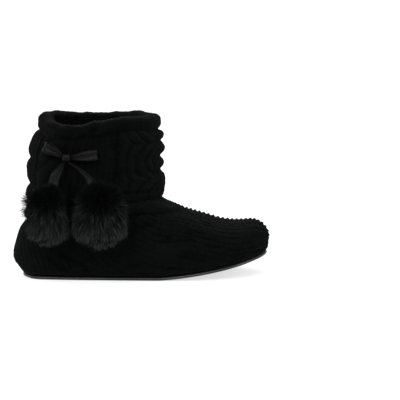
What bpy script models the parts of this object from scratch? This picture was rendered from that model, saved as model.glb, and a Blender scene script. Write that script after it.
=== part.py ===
"""Cable-knit bootie slipper, right shoe: sole, insole, knitted upper, turned cuff, ribbon bow, two pompoms.

Metres, +Z up. The toe points to +X and the outer (lateral) side to -Y. The origin lies on the floor under
the middle of the sole.
"""
import math
import random

import bmesh
import bpy
import numpy as np
from mathutils import Vector

# Driving sizes
SOLE_LENGTH = 0.245       # heel edge to toe edge of the sole
BALL_WIDTH = 0.100        # widest part of the foot, over the knit
RIM_HEIGHT = 0.1565       # top edge of the upper above the sole
TOE_SPRING = 0.0210       # rise of the sole's tip above the floor
SPRING_START = 0.55       # share of the sole that stays flat on the floor, from the heel
SPRING_CURVE = 1.45       # how late the toe spring rises
RIM_SAG = 0.0095          # how far the collar hangs down on its outer side, behind the middle
RIM_DIP = 0.003           # how far the inner side of the collar lies below its front and back
WALL = 0.004              # knit and lining of the upper
SOLE_THICKNESS = 0.0032   # flat outsole
BINDING_DIAMETER = 0.0032  # piping around the outsole
INSOLE_THICKNESS = 0.0050
INSOLE_EASE = 0.0013      # clearance between the footbed's edge and the upper's inside
HEM_HEIGHT = 0.0775       # the cuff's hem above the sole, at the instep
HEM_TILT = 0.0020         # how much lower the hem is at the heel
CUFF_THICKNESS = 0.0080   # fullest thickness of the cuff outside the shaft
CUFF_LIP = 0.0040         # thickness of the cuff inside the shaft
CUFF_LIP_DEPTH = 0.014    # how far the cuff reaches down inside the shaft
CUFF_CROWN = 0.0050       # how far the roll stands above the upper's rim
GAP = 0.0003              # clearance between neighbouring pieces
CUFF_GAP = 0.0006         # clearance between the cuff and the shaft that it wraps
RIBBON_WIDTH = 0.0095
RIBBON_THICKNESS = 0.0010
LOOP_LENGTH = 0.0285      # knot to the end of a bow loop
LOOP_DEPTH = 0.0090       # how far a loop opens
KNOT_SIZE = 0.0080
KNOT_BACK = 0.309         # how far round from the front the bow sits, as a share of a turn
KNOT_HEIGHT = 0.63        # share of the cuff's height
POMPOM_DROP = 0.0525      # knot to the middle of a pompom
POMPOM_AHEAD = 0.0035     # how far the pair hangs ahead of the knot
POMPOM_WIDTH = 0.047
REAR_POMPOM = 0.71        # the rear pompom's width and depth, as a share of the front one's
POMPOM_HEIGHT = 0.064
POMPOM_DEPTH = 0.040
LOCK_LENGTH = 0.0060      # how far the locks of fur stand out of the pompom's body
TAIL_INSET = 0.0060       # how far inside a pompom's middle its ribbon enters it
LOCKS_AROUND = 9
LOCKS_FULL_ANGLE = 0.9    # how far from the pompom's top its locks have their full length, in radians

# Derived levels
EDGE_LEVEL = max(SOLE_THICKNESS, BINDING_DIAMETER + GAP) + GAP   # lower edge of the upper
X_HEEL = -SOLE_LENGTH / 2

# The upper as a row of sections from the toe, along the foot, round the heel and up the shaft.
# Each lies in the plane through its top and bottom points and holds the Y axis.
# Shares of SOLE_LENGTH: top_x, low_x. Shares of RIM_HEIGHT above the sole line: top_z, low_z.
# Shares of BALL_WIDTH: outer, inner (half widths). Then: height share of the widest place,
# roundness of the upper half, roundness of the lower half (2 is an ellipse, more is squarer).
SECTIONS = (
    # top_x, top_z, low_x, low_z, outer, inner, widest, round_up, round_low
    (1.0245, 0.066, 1.0245, 0.058, 0.000, 0.000, 0.50, 2.0, 2.0),
    (1.0180, 0.128, 1.0140, 0.004, 0.145, 0.165, 0.50, 2.1, 2.4),
    (0.9960, 0.176, 0.9950, -0.028, 0.245, 0.268, 0.48, 2.1, 3.0),
    (0.9600, 0.216, 0.9550, -0.038, 0.335, 0.356, 0.44, 2.1, 3.8),
    (0.9020, 0.232, 0.8980, -0.038, 0.424, 0.438, 0.40, 2.1, 4.0),
    (0.8290, 0.269, 0.8240, -0.038, 0.482, 0.485, 0.38, 2.0, 4.0),
    (0.7510, 0.327, 0.7460, -0.038, 0.502, 0.498, 0.37, 2.0, 4.0),
    (0.6780, 0.382, 0.6620, -0.038, 0.500, 0.484, 0.38, 2.0, 4.0),
    (0.6220, 0.428, 0.5640, -0.038, 0.486, 0.450, 0.40, 2.0, 4.0),
    (0.5860, 0.460, 0.4420, -0.038, 0.466, 0.430, 0.42, 2.0, 4.0),
    (0.5640, 0.495, 0.2960, -0.038, 0.450, 0.424, 0.44, 2.0, 3.7),
    (0.5560, 0.536, 0.1550, -0.038, 0.440, 0.424, 0.45, 2.1, 3.2),
    (0.5530, 0.583, 0.0300, -0.038, 0.438, 0.428, 0.46, 2.1, 2.6),
    (0.5520, 0.616, 0.0050, -0.010, 0.438, 0.432, 0.47, 2.2, 2.4),
    (0.5510, 0.648, -0.0160, 0.026, 0.440, 0.436, 0.48, 2.2, 2.3),
    (0.5500, 0.680, -0.0380, 0.067, 0.441, 0.438, 0.49, 2.2, 2.2),
    (0.5490, 0.712, -0.0450, 0.120, 0.442, 0.440, 0.50, 2.2, 2.2),
    (0.5490, 0.744, -0.0330, 0.204, 0.442, 0.440, 0.50, 2.2, 2.2),
    (0.5520, 0.776, -0.0140, 0.292, 0.438, 0.436, 0.50, 2.2, 2.3),
    (0.5530, 0.802, 0.0080, 0.336, 0.433, 0.431, 0.50, 2.2, 2.3),
    (0.5530, 0.828, 0.0200, 0.394, 0.429, 0.427, 0.50, 2.2, 2.3),
    (0.5520, 0.856, 0.0330, 0.462, 0.424, 0.423, 0.50, 2.2, 2.3),
    (0.5500, 0.881, 0.0450, 0.548, 0.420, 0.420, 0.50, 2.2, 2.3),
    (0.5470, 0.910, 0.0510, 0.650, 0.416, 0.416, 0.50, 2.2, 2.3),
    (0.5430, 0.930, 0.0540, 0.764, 0.410, 0.410, 0.50, 2.2, 2.3),
    (0.5410, 0.958, 0.0730, 0.887, 0.404, 0.404, 0.50, 2.2, 2.3),
    (0.5400, 0.998, 0.0990, 1.012, 0.400, 0.400, 0.50, 2.2, 2.3),
)
LAST_SECTION = len(SECTIONS) - 1
SAG_TURN_SHARE = 0.35      # where round the collar it hangs lowest, and how far to each side
SAG_SPREAD_SHARE = 0.19
FIRST_SHAFT_SECTION = 6    # from here on each line along the upper only climbs, on its upper half
FIRST_HEEL_SECTION = 12    # the same on its lower half
TOE_SEARCH = (3.0, 0.1)    # places between which the bottom line meets the sole line at the toe,
HEEL_SEARCH = (11.0, 16.0)  # and at the heel: under the foot first

# The cuff's profile, from its hem up the outside to its roll: its notches lie where the cables cross.
# Share of the cuff's height, then shares of its thickness at the front, at the heel and at both sides.
CUFF_PROFILE = (
    # height, front, heel, side
    (0.000, 0.48, 0.48, 0.48),
    (0.045, 0.84, 0.84, 0.84),
    (0.110, 1.00, 0.92, 1.00),
    (0.190, 1.04, 0.76, 1.00),
    (0.270, 1.02, 1.00, 0.96),
    (0.350, 0.68, 1.04, 0.90),
    (0.435, 1.00, 1.00, 0.92),
    (0.525, 0.68, 0.68, 0.90),
    (0.620, 1.02, 0.92, 0.92),
    (0.722, 0.68, 0.96, 0.90),
    (0.800, 0.96, 0.92, 0.92),
    (0.870, 0.70, 0.70, 0.84),
    (0.930, 0.92, 0.92, 0.94),
    (0.975, 0.98, 0.98, 0.98),
)
CUFF_LINING = (0.82, 0.64, 0.46, 0.28, 0.12)    # heights of the rows that follow the shaft inside the cuff

# Mesh density
UPPER_RINGS = 37
UPPER_SIDES = 40         # the cuff has as many, in line with the upper's, so their facets stay parallel
OUTLINE_POINTS = 56
BINDING_SIDES = 8


def clear_scene():
    """Removes every object of the open scene."""
    for thing in list(bpy.data.objects):
        bpy.data.objects.remove(thing, do_unlink=True)


def collection(name):
    """A new collection in the scene."""
    group = bpy.data.collections.new(name)
    bpy.context.scene.collection.children.link(group)
    return group


def material(name, color, roughness, metallic=0.0):
    """A Principled material of one colour."""
    mat = bpy.data.materials.new(name)
    mat.use_nodes = True
    shader = mat.node_tree.nodes["Principled BSDF"]
    shader.inputs["Base Color"].default_value = (*color, 1.0)
    shader.inputs["Roughness"].default_value = roughness
    shader.inputs["Metallic"].default_value = metallic
    return mat


def smooth_table(rows, at):
    """Reads a table of equally spaced rows at any place along it, with a smooth curve through the rows."""
    at = min(max(at, 0.0), len(rows) - 1.0)
    i = min(int(at), len(rows) - 2)
    t = at - i
    before, start, end, after = (np.array(rows[min(max(k, 0), len(rows) - 1)]) for k in range(i - 1, i + 3))
    out = (end - before) / 2
    into = (after - start) / 2
    return ((2 * t**3 - 3 * t**2 + 1) * start + (t**3 - 2 * t**2 + t) * out
            + (3 * t**2 - 2 * t**3) * end + (t**3 - t**2) * into)


def lift(x):
    """Height of the sole's underside above the floor at x."""
    along = (x - X_HEEL) / SOLE_LENGTH
    past = (min(along, 1.0) - SPRING_START) / (1.0 - SPRING_START)
    return TOE_SPRING * max(past, 0.0) ** SPRING_CURVE


def upper_point(s, turn):
    """A point of the outer face: s along the sections, turn round one from its top by the outer side."""
    top_x, top_z, low_x, low_z, outer, inner, widest, round_up, round_low = smooth_table(SECTIONS, s)
    angle = 2 * math.pi * (turn % 1.0)
    half_width = (outer if angle <= math.pi else inner) * BALL_WIDTH
    side = -1.0 if angle <= math.pi else 1.0
    upper_half = math.cos(angle) >= 0
    power = 2 / (round_up if upper_half else round_low)
    rise = abs(math.cos(angle)) ** power
    share = widest + (1 - widest) * rise if upper_half else widest - widest * rise
    y = side * half_width * abs(math.sin(angle)) ** power
    top = (X_HEEL + top_x * SOLE_LENGTH, top_z * RIM_HEIGHT)
    low = (X_HEEL + low_x * SOLE_LENGTH, low_z * RIM_HEIGHT)
    x = low[0] + share * (top[0] - low[0])
    climb = low[1] + share * (top[1] - low[1])
    off = min(abs(turn % 1.0 - SAG_TURN_SHARE) / SAG_SPREAD_SHARE, 1.0)
    hang = RIM_SAG * math.cos(math.pi * off / 2) ** 2 + RIM_DIP * min(math.sin(angle), 0.0) ** 2
    sag = hang * max(climb / RIM_HEIGHT, 0.0) ** 3
    return Vector((x, y, EDGE_LEVEL + lift(x) + climb - sag))


def shaft_place(turn, height):
    """Where the line round place turn reaches a height above the sole line: its s."""
    lower_half = math.cos(2 * math.pi * turn) < -0.3
    low = FIRST_HEEL_SECTION if lower_half else FIRST_SHAFT_SECTION
    high = LAST_SECTION
    for _ in range(30):
        middle = (low + high) / 2
        if upper_point(middle, turn).z - EDGE_LEVEL < height:
            low = middle
        else:
            high = middle
    return (low + high) / 2


def under_cuff(turn, height_share):
    """The place along the upper that lies at a share of the cuff's height, from its hem to the rim."""
    if height_share >= 1:
        return LAST_SECTION
    rim = upper_point(LAST_SECTION, turn).z - EDGE_LEVEL
    hem = HEM_HEIGHT - HEM_TILT * (1 - math.cos(2 * math.pi * turn)) / 2
    return shaft_place(turn, hem + (rim - hem) * height_share)


def on_cuff(turn, height_share, out, above=0.0):
    """A point off the shaft's outer face: place round, share of the cuff's height, distance out."""
    s = under_cuff(turn, height_share)
    return upper_point(s, turn) + outward(turn, s) * out + Vector((0, 0, above))


def outward(turn, s):
    """The level unit normal of the shaft at a place, pointing out."""
    step = 0.012
    along = upper_point(s, turn + step) - upper_point(s, turn - step)
    normal = Vector((along.y, -along.x, 0.0)).normalized()
    centre = (upper_point(s, 0.0) + upper_point(s, 0.5)) / 2
    return normal if normal.dot(upper_point(s, turn) - centre) > 0 else -normal


def mesh_object(name, points, faces, group, mat, smooth=True):
    """A new mesh object from points and faces, with its faces pointing out."""
    mesh = bpy.data.meshes.new(name)
    mesh.from_pydata([tuple(p) for p in points], [], faces)
    shape = bmesh.new()
    shape.from_mesh(mesh)
    bmesh.ops.remove_doubles(shape, verts=shape.verts, dist=1e-6)
    bmesh.ops.recalc_face_normals(shape, faces=shape.faces)
    shape.to_mesh(mesh)
    shape.free()
    if smooth:
        mesh.shade_smooth()
        mesh.set_sharp_from_angle(angle=math.radians(50))
    thing = bpy.data.objects.new(name, mesh)
    mesh.materials.append(mat)
    group.objects.link(thing)
    return thing


def ring_faces(rows, columns, close_rows=False):
    """Quads between rows of points that each close on themselves; close_rows joins the last to the first."""
    faces = []
    for i in range(rows if close_rows else rows - 1):
        for j in range(columns):
            after = (j + 1) % columns
            below = ((i + 1) % rows) * columns
            faces.append((i * columns + j, i * columns + after, below + after, below + j))
    return faces


def even_stations(count):
    """Places along the upper that lie evenly spaced along the mean of its top and bottom lines."""
    steps = 600
    fine = [LAST_SECTION * i / steps for i in range(steps + 1)]
    travelled = [0.0]
    for a, b in zip(fine, fine[1:]):
        step = sum((upper_point(b, t) - upper_point(a, t)).length for t in (0.0, 0.5, 0.25)) / 3
        travelled.append(travelled[-1] + step)
    return [float(np.interp(travelled[-1] * i / (count - 1), travelled, fine)) for i in range(count)]


def make_upper(group, cutters, mat):
    """The knitted foot and shaft: a sock-shaped sheet made thick inwards, cut open along the sole line."""
    stations = even_stations(UPPER_RINGS)[1:]
    points = [upper_point(s, j / UPPER_SIDES) for s in stations for j in range(UPPER_SIDES)]
    faces = ring_faces(len(stations), UPPER_SIDES)
    tip = len(points)
    points.append(upper_point(0.0, 0.0))
    faces += [(tip, (j + 1) % UPPER_SIDES, j) for j in range(UPPER_SIDES)]
    upper = mesh_object("upper", points, faces, group, mat)
    wall = upper.modifiers.new("wall", "SOLIDIFY")
    wall.thickness = WALL
    wall.offset = -1.0
    wall.use_even_offset = True
    cut = upper.modifiers.new("open underside", "BOOLEAN")
    cut.operation = "DIFFERENCE"
    cut.solver = "EXACT"
    cut.object = make_sole_cutter(cutters, mat)
    return upper


def make_sole_cutter(cutters, mat):
    """A block whose top follows the sole line, and which takes the underside off the upper."""
    steps = 24
    reach = SOLE_LENGTH * 0.15
    depth = RIM_HEIGHT * 0.2
    xs = [X_HEEL - reach] + [X_HEEL + SOLE_LENGTH * (SPRING_START + (1 - SPRING_START) * i / steps)
                             for i in range(steps + 1)] + [X_HEEL + SOLE_LENGTH + reach]
    points = []
    for x in xs:
        top = EDGE_LEVEL + lift(x)
        points += [(x, -BALL_WIDTH, top), (x, BALL_WIDTH, top)]
        points += [(x, BALL_WIDTH, -depth), (x, -BALL_WIDTH, -depth)]
    faces = ring_faces(len(xs), 4)
    faces += [(3, 2, 1, 0), tuple(len(points) - 4 + k for k in range(4))]
    cutter = mesh_object("sole_cutter", points, faces, cutters, mat, smooth=False)
    cutter.hide_render = True
    cutter.display_type = "WIRE"
    return cutter


def inner_point(s, turn):
    """A point of the upper's inner face: the outer face moved in by the wall."""
    step = 0.004
    round_it = upper_point(s, turn + step) - upper_point(s, turn - step)
    along = upper_point(s + 0.02, turn) - upper_point(s - 0.02, turn)
    return upper_point(s, turn) - along.cross(round_it).normalized() * WALL


def above_sole_line(face, s, turn):
    """How far a point of a face of the upper lies above the sole line."""
    point = face(s, turn)
    return point.z - EDGE_LEVEL - lift(point.x)


def edge_turn(face, s, outer_side):
    """How far round the section at s a face crosses the sole line, or None where it stays above it."""
    low, high = (0.25, 0.5) if outer_side else (0.75, 0.5)
    if above_sole_line(face, s, high) >= 0:
        return None
    for _ in range(40):
        middle = (low + high) / 2
        if above_sole_line(face, s, middle) > 0:
            low = middle
        else:
            high = middle
    return (low + high) / 2


def sole_ends(face):
    """The first and last place along the upper where the bottom line of a face lies under the sole line."""
    ends = []
    for inside, outside in (TOE_SEARCH, HEEL_SEARCH):
        for _ in range(40):
            middle = (inside + outside) / 2
            if above_sole_line(face, middle, 0.5) < 0:
                inside = middle
            else:
                outside = middle
        ends.append(inside)
    return ends


def sole_outline(offset, face=upper_point):
    """The closed outline where a face of the upper meets the sole, moved in by offset: even, level points."""
    start, end = sole_ends(face)
    fine = 160
    places = [start + (end - start) * (1 - math.cos(math.pi * (i + 0.02) / (fine + 0.04))) / 2
              for i in range(fine + 1)]
    sides = []
    for outer_side in (True, False):
        turns = [(s, edge_turn(face, s, outer_side)) for s in places]
        sides.append([face(s, turn)[:2] for s, turn in turns if turn is not None])
    loop = np.array(sides[0] + sides[1][::-1])
    return even_loop(inset(even_loop(loop, OUTLINE_POINTS * 4), offset), OUTLINE_POINTS)


def even_loop(loop, count):
    """A closed loop of level points, resampled at even distances."""
    closed = np.vstack([loop, loop[:1]])
    steps = np.hypot(*np.diff(closed, axis=0).T)
    travelled = np.concatenate([[0.0], np.cumsum(steps)])
    at = np.linspace(0, travelled[-1], count, endpoint=False)
    return np.column_stack([np.interp(at, travelled, closed[:, k]) for k in range(2)])


def inset(loop, distance):
    """A closed loop moved inwards by a distance, or outwards by a negative one."""
    along = np.roll(loop, -2, axis=0) - np.roll(loop, 2, axis=0)
    normals = np.column_stack([-along[:, 1], along[:, 0]]) / np.hypot(*along.T)[:, None]
    area = np.sum(loop[:, 0] * np.roll(loop[:, 1], -1) - np.roll(loop[:, 0], -1) * loop[:, 1])
    return loop + normals * distance * (1 if area > 0 else -1)


def plate(name, levels, group, mat):
    """A flat piece that follows the toe spring: levels hold an outline and its height over the sole line."""
    count = len(levels[0][0])
    points = [(x, y, height + lift(x)) for loop, height in levels for x, y in loop]
    faces = ring_faces(len(levels), count)
    half = count // 2
    for base, flip in ((0, True), ((len(levels) - 1) * count, False)):
        for k in range(1, half):
            a, b = base + k, base + k - 1
            c, d = base + (count - k + 1) % count, base + count - k
            corners = tuple(dict.fromkeys((a, b, c, d)))
            faces.append(corners[::-1] if flip else corners)
        a, b, c = base + half - 1, base + half, base + half + 1
        faces.append((c, b, a) if flip else (a, b, c))
    return mesh_object(name, points, faces, group, mat)


def make_outsole(group, mat):
    """The flat outsole inside its piping, with a bevelled tread edge."""
    edge = BINDING_DIAMETER * 0.75 + GAP
    bevel = SOLE_THICKNESS * 0.20
    levels = [
        (sole_outline(edge + bevel), 0.0),
        (sole_outline(edge), bevel),
        (sole_outline(edge), SOLE_THICKNESS),
    ]
    return plate("outsole", levels, group, mat)


def make_binding(group, mat):
    """The round piping sewn round the outsole's edge, under the upper's lower edge."""
    loop = sole_outline(BINDING_DIAMETER * 0.25)
    ahead = np.roll(loop, -1, axis=0) - np.roll(loop, 1, axis=0)
    radius = BINDING_DIAMETER / 2
    middle = radius + GAP
    points = []
    for (x, y), (dx, dy) in zip(loop, ahead):
        side = Vector((dy, -dx, 0.0)).normalized()
        for k in range(BINDING_SIDES):
            angle = 2 * math.pi * (k + 0.5) / BINDING_SIDES
            out = side * math.cos(angle) * radius
            points.append((x + out.x, y + out.y, middle + lift(x) + math.sin(angle) * radius))
    faces = ring_faces(len(loop), BINDING_SIDES, close_rows=True)
    return mesh_object("sole_binding", points, faces, group, mat)


def make_insole(group, mat):
    """The padded footbed, inside the upper's wall and on the outsole."""
    edge = INSOLE_EASE
    soft = INSOLE_THICKNESS * 0.22
    bottom = SOLE_THICKNESS + GAP
    levels = [
        (sole_outline(edge + soft, inner_point), bottom),
        (sole_outline(edge, inner_point), bottom + soft),
        (sole_outline(edge, inner_point), bottom + INSOLE_THICKNESS - soft),
        (sole_outline(edge + soft, inner_point), bottom + INSOLE_THICKNESS),
    ]
    return plate("insole", levels, group, mat)


def cuff_thickness(turn, front, heel, side):
    """The cuff's thickness at a place round, from its profile's shares."""
    toward_end = math.cos(2 * math.pi * turn)
    end = front if toward_end > 0 else heel
    return CUFF_THICKNESS * (side + (end - side) * toward_end ** 2)


def make_cuff(group, mat):
    """The turned-down cuff: up the outside of the shaft, over its rim in a soft roll, and a lip inside."""
    rows = []
    lip = -(WALL * 1.05 + CUFF_GAP)
    lower = 1.0 - CUFF_LIP_DEPTH / (RIM_HEIGHT - HEM_HEIGHT)
    for j in range(UPPER_SIDES):
        turn = j / UPPER_SIDES
        ring = [on_cuff(turn, 0.0, CUFF_GAP)]
        ring += [on_cuff(turn, height, cuff_thickness(turn, *shares)) for height, *shares in CUFF_PROFILE]
        ring.append(on_cuff(turn, 1.0, CUFF_THICKNESS * 0.82, CUFF_CROWN * 0.30))
        ring.append(on_cuff(turn, 1.0, CUFF_THICKNESS * 0.40, CUFF_CROWN * 0.85))
        ring.append(on_cuff(turn, 1.0, -WALL * 0.45, CUFF_CROWN))
        ring.append(on_cuff(turn, 1.0, lip - CUFF_LIP * 0.55, CUFF_CROWN * 0.62))
        ring.append(on_cuff(turn, 1.0, lip - CUFF_LIP, -CUFF_LIP_DEPTH * 0.15))
        ring.append(on_cuff(turn, lower, lip - CUFF_LIP))
        ring.append(on_cuff(turn, lower, lip))
        ring.append(on_cuff(turn, 1.0, lip, CUFF_GAP))
        ring.append(on_cuff(turn, 1.0, CUFF_GAP, CUFF_GAP))
        ring += [on_cuff(turn, height, CUFF_GAP) for height in CUFF_LINING]
        rows.append(ring)
    count = len(rows[0])
    points = [p for ring in rows for p in ring]
    return mesh_object("cuff", points, ring_faces(len(rows), count, close_rows=True), group, mat)


def bow_frame():
    """The bow's place on the cuff: the knot's centre, out of the shoe, forwards along it, and up."""
    heights, *columns = zip(*CUFF_PROFILE)
    shares = [float(np.interp(KNOT_HEIGHT, heights, column)) for column in columns]
    face = on_cuff(KNOT_BACK, KNOT_HEIGHT, cuff_thickness(KNOT_BACK, *shares) + GAP * 2)
    out = outward(KNOT_BACK, under_cuff(KNOT_BACK, KNOT_HEIGHT))
    up = Vector((0, 0, 1))
    forward = up.cross(out) if up.cross(out).x > 0 else out.cross(up)
    return face + out * KNOT_SIZE * 0.42, out, forward, up


def make_knot(group, mat):
    """The wrapped knot of the bow: a soft block with a dent where the ribbon pulls in."""
    centre, out, forward, up = bow_frame()
    shape = bmesh.new()
    bmesh.ops.create_uvsphere(shape, u_segments=12, v_segments=8, radius=0.5)
    for vert in shape.verts:
        x, y, z = (math.copysign(abs(2 * c) ** 0.75, c) / 2 for c in vert.co)
        pull = 1 - 0.18 * math.cos(math.pi * y)
        vert.co = centre + (forward * x + out * y * 0.84 + up * z * 0.95 * pull) * KNOT_SIZE
    shape.normal_update()
    bmesh.ops.recalc_face_normals(shape, faces=shape.faces)
    mesh = bpy.data.meshes.new("bow_knot")
    shape.to_mesh(mesh)
    shape.free()
    mesh.shade_smooth()
    mesh.materials.append(mat)
    knot = bpy.data.objects.new("bow_knot", mesh)
    group.objects.link(knot)
    return knot


def ribbon(name, path, widths, across, group, mat, closed=False):
    """A flat ribbon along a path: its width lies along across at each point, its thickness square to both."""
    points = []
    count = len(path)
    for i, (place, width, wide) in enumerate(zip(path, widths, across)):
        after = path[(i + 1) % count] if closed or i < count - 1 else place
        before = path[i - 1] if closed or i > 0 else place
        along = (after - before).normalized()
        flat = along.cross(wide).normalized() * RIBBON_THICKNESS / 2
        half = wide.normalized() * width / 2
        points += [place - half - flat, place + half - flat, place + half + flat, place - half + flat]
    faces = ring_faces(count, 4, close_rows=closed)
    if not closed:
        faces += [(3, 2, 1, 0), tuple(len(points) - 4 + k for k in range(4))]
    return mesh_object(name, points, faces, group, mat)


def make_loop(name, way, tilt, length, group, mat):
    """One loop of the bow: a teardrop of ribbon whose narrow end meets the knot."""
    centre, out, forward, up = bow_frame()
    reach = (forward * way + up * math.tan(math.radians(tilt))).normalized()
    wide = reach.cross(out).normalized()
    steps = 22
    start = KNOT_SIZE * 0.5 + GAP + RIBBON_THICKNESS
    path, widths = [], []
    for i in range(steps):
        angle = 2 * math.pi * i / steps
        far = (1 - math.cos(angle)) / 2
        depth = math.sin(angle) * math.sin(angle / 2) ** 1.4 * LOOP_DEPTH / 2
        bend = far * far * length * 0.04
        path.append(centre + reach * (start + (length - start) * far)
                    + out * (depth + bend + RIBBON_THICKNESS * 0.9 * math.sin(angle)))
        widths.append(RIBBON_WIDTH * (0.45 + 0.55 * min(far * 1.6, 1.0)))
    return ribbon(name, path, widths, [wide] * steps, group, mat, closed=True)


def pompom_width(way):
    """The body's width of the front pompom (way 1) or the rear one (way -1)."""
    return POMPOM_WIDTH * (1.0 if way > 0 else REAR_POMPOM)


def pompom_centre(way):
    """The middle of a pompom: it hangs beside the shoe, under the bow, clear of the cuff and the foot."""
    knot = bow_frame()[0]
    reach = POMPOM_DEPTH / 2 + LOCK_LENGTH + CUFF_THICKNESS * 0.1
    along = POMPOM_AHEAD + way * (pompom_width(way) / 2 + LOCK_LENGTH * 0.78 + GAP)
    return knot + Vector((along, -reach, -POMPOM_DROP))


def make_pompom(name, way, seed, group, mat):
    """A pompom of long fur: a soft body whose locks stand out all round and hang down."""
    centre = pompom_centre(way)
    width = pompom_width(way)
    depth = POMPOM_DEPTH * width / POMPOM_WIDTH
    chance = random.Random(seed)
    rings = 15
    sides = LOCKS_AROUND * 3
    lean = [chance.uniform(-0.3, 0.3) for _ in range(rings)]
    points = []
    for i in range(1, rings):
        polar = math.pi * i / rings
        tier = (i % 3) / 3
        under_ribbon = min(polar / LOCKS_FULL_ANGLE, 1.0) ** 3
        for j in range(sides):
            round_at = 2 * math.pi * (j + lean[i // 3]) / sides
            crest = 1.0 if (j + i // 3) % 3 == 0 else 0.0
            lock = LOCK_LENGTH * under_ribbon * (crest * (0.35 + 0.65 * tier) + 0.15 * chance.random())
            out = Vector((math.sin(polar) * math.cos(round_at), math.sin(polar) * math.sin(round_at),
                          math.cos(polar)))
            body = Vector((out.x * width / 2, out.y * depth / 2, out.z * POMPOM_HEIGHT / 2))
            points.append(centre + body + out * lock - Vector((0, 0, lock * 0.35)))
    faces = ring_faces(rings - 1, sides)
    top = len(points)
    points.append(centre + Vector((0, 0, POMPOM_HEIGHT / 2)))
    points.append(centre - Vector((0, 0, POMPOM_HEIGHT / 2 + LOCK_LENGTH * 0.3)))
    last = (rings - 2) * sides
    for j in range(sides):
        faces.append((top, (j + 1) % sides, j))
        faces.append((top + 1, last + j, last + (j + 1) % sides))
    return mesh_object(name, points, faces, group, mat)


def make_tail(name, way, group, mat):
    """A ribbon tail: it leaves the knot, bows out over the cuff and ends on top of its pompom."""
    centre, out, forward, up = bow_frame()
    corner = TAIL_INSET - RIBBON_WIDTH / 2
    top = math.sqrt(1 - (2 * corner / pompom_width(way)) ** 2) * POMPOM_HEIGHT / 2
    end = pompom_centre(way) + Vector((-way * TAIL_INSET, 0, top + GAP))
    under = KNOT_SIZE * 0.475 + GAP
    start = centre + (forward * way * 0.30 + out * 0.12) * KNOT_SIZE - up * under
    steps = 9
    path, widths, across = [], [], []
    for i in range(steps):
        t = i / (steps - 1)
        sideways = 1 - (1 - t) ** 2
        place = start.lerp(end, sideways)
        place.z = start.z + (end.z - start.z) * t
        swell = math.sin(math.pi * t)
        place += out * swell * RIBBON_WIDTH * 0.12
        path.append(place)
        widths.append(RIBBON_WIDTH * (0.55 + 0.45 * min(t * 2.5, 1.0)))
        turned = math.radians(50 * (1 - t) * way)
        across.append((forward * math.cos(turned) + out * math.sin(turned)).normalized())
    return ribbon(name, path, widths, across, group, mat)


def main():
    """Builds the whole slipper."""
    clear_scene()
    slipper = collection("bootie_slipper")
    cutters = collection("cutters")
    knit = material("cable_knit", (0.0040, 0.0042, 0.0048), 0.92)
    knit_foot = material("foot_knit", (0.0042, 0.0044, 0.0050), 0.92)
    fleece = material("footbed_fleece", (0.020, 0.021, 0.023), 0.95)
    tread = material("tread_fabric", (0.110, 0.112, 0.115), 0.75)
    piping = material("glossy_piping", (0.030, 0.031, 0.033), 0.40)
    satin = material("satin_ribbon", (0.012, 0.013, 0.014), 0.35)
    fur = material("pompom_fur", (0.010, 0.013, 0.012), 0.85)
    make_outsole(slipper, tread)
    make_binding(slipper, piping)
    make_insole(slipper, fleece)
    make_upper(slipper, cutters, knit_foot)
    make_cuff(slipper, knit)
    make_knot(slipper, satin)
    for place, way, tilt, share, seed in (("back", -1, 27, 0.87, 3), ("front", 1, 7, 1.10, 8)):
        make_loop("bow_loop_" + place, way, tilt, LOOP_LENGTH * share, slipper, satin)
        make_tail("tail_" + place, way, slipper, satin)
        make_pompom("pompom_" + place, way, seed, slipper, fur)


if __name__ == "__main__":
    main()
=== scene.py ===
"""Looks of a cable-knit bootie slipper, right shoe: black knit, satin bow and two fur pompoms.

Metres, +Z up, toe to +X and outer side to -Y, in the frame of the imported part.
"""

import math

import bmesh
import bpy
import numpy as np
from mathutils import Matrix, Vector


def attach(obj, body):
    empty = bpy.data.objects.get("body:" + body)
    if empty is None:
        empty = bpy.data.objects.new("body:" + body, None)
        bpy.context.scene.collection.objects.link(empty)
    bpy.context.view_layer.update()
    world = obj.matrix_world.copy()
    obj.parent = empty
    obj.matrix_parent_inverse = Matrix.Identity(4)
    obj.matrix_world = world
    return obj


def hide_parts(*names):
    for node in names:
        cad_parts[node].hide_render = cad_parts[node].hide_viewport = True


bl_info = {
    "name": "Cable-knit bootie slipper",
    "version": (1, 0, 0),
    "blender": (4, 5, 0),
    "location": "3D View > Sidebar > Slipper",
    "description": "Models the knit, sole, satin bow and fur pompoms of a bootie slipper",
    "category": "Object",
}

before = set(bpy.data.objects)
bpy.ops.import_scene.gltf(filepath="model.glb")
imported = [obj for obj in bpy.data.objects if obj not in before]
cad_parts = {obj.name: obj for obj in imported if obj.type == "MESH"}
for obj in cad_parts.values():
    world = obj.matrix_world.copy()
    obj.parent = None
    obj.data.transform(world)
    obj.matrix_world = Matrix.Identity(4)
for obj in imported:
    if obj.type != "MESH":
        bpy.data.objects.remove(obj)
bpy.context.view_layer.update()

# Sizes of the shoe, as its solids have them
SOLE_LENGTH = 0.245
BALL_WIDTH = 0.100
RIM_HEIGHT = 0.1565
TOE_SPRING = 0.0210
SPRING_START = 0.55
SPRING_CURVE = 1.45
RIM_SAG = 0.0095
RIM_DIP = 0.003
WALL = 0.004
SOLE_THICKNESS = 0.0032
BINDING_DIAMETER = 0.0032
INSOLE_THICKNESS = 0.0050
INSOLE_EASE = 0.0013
HEM_HEIGHT = 0.0775
HEM_TILT = 0.0020
CUFF_THICKNESS = 0.0080
CUFF_LIP = 0.0040
CUFF_LIP_DEPTH = 0.014
CUFF_CROWN = 0.0050
GAP = 0.0003
CUFF_GAP = 0.0006
RIBBON_WIDTH = 0.0095
LOOP_LENGTH = 0.0285
LOOP_DEPTH = 0.0090
KNOT_SIZE = 0.0080
KNOT_BACK = 0.309
KNOT_HEIGHT = 0.63
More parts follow.
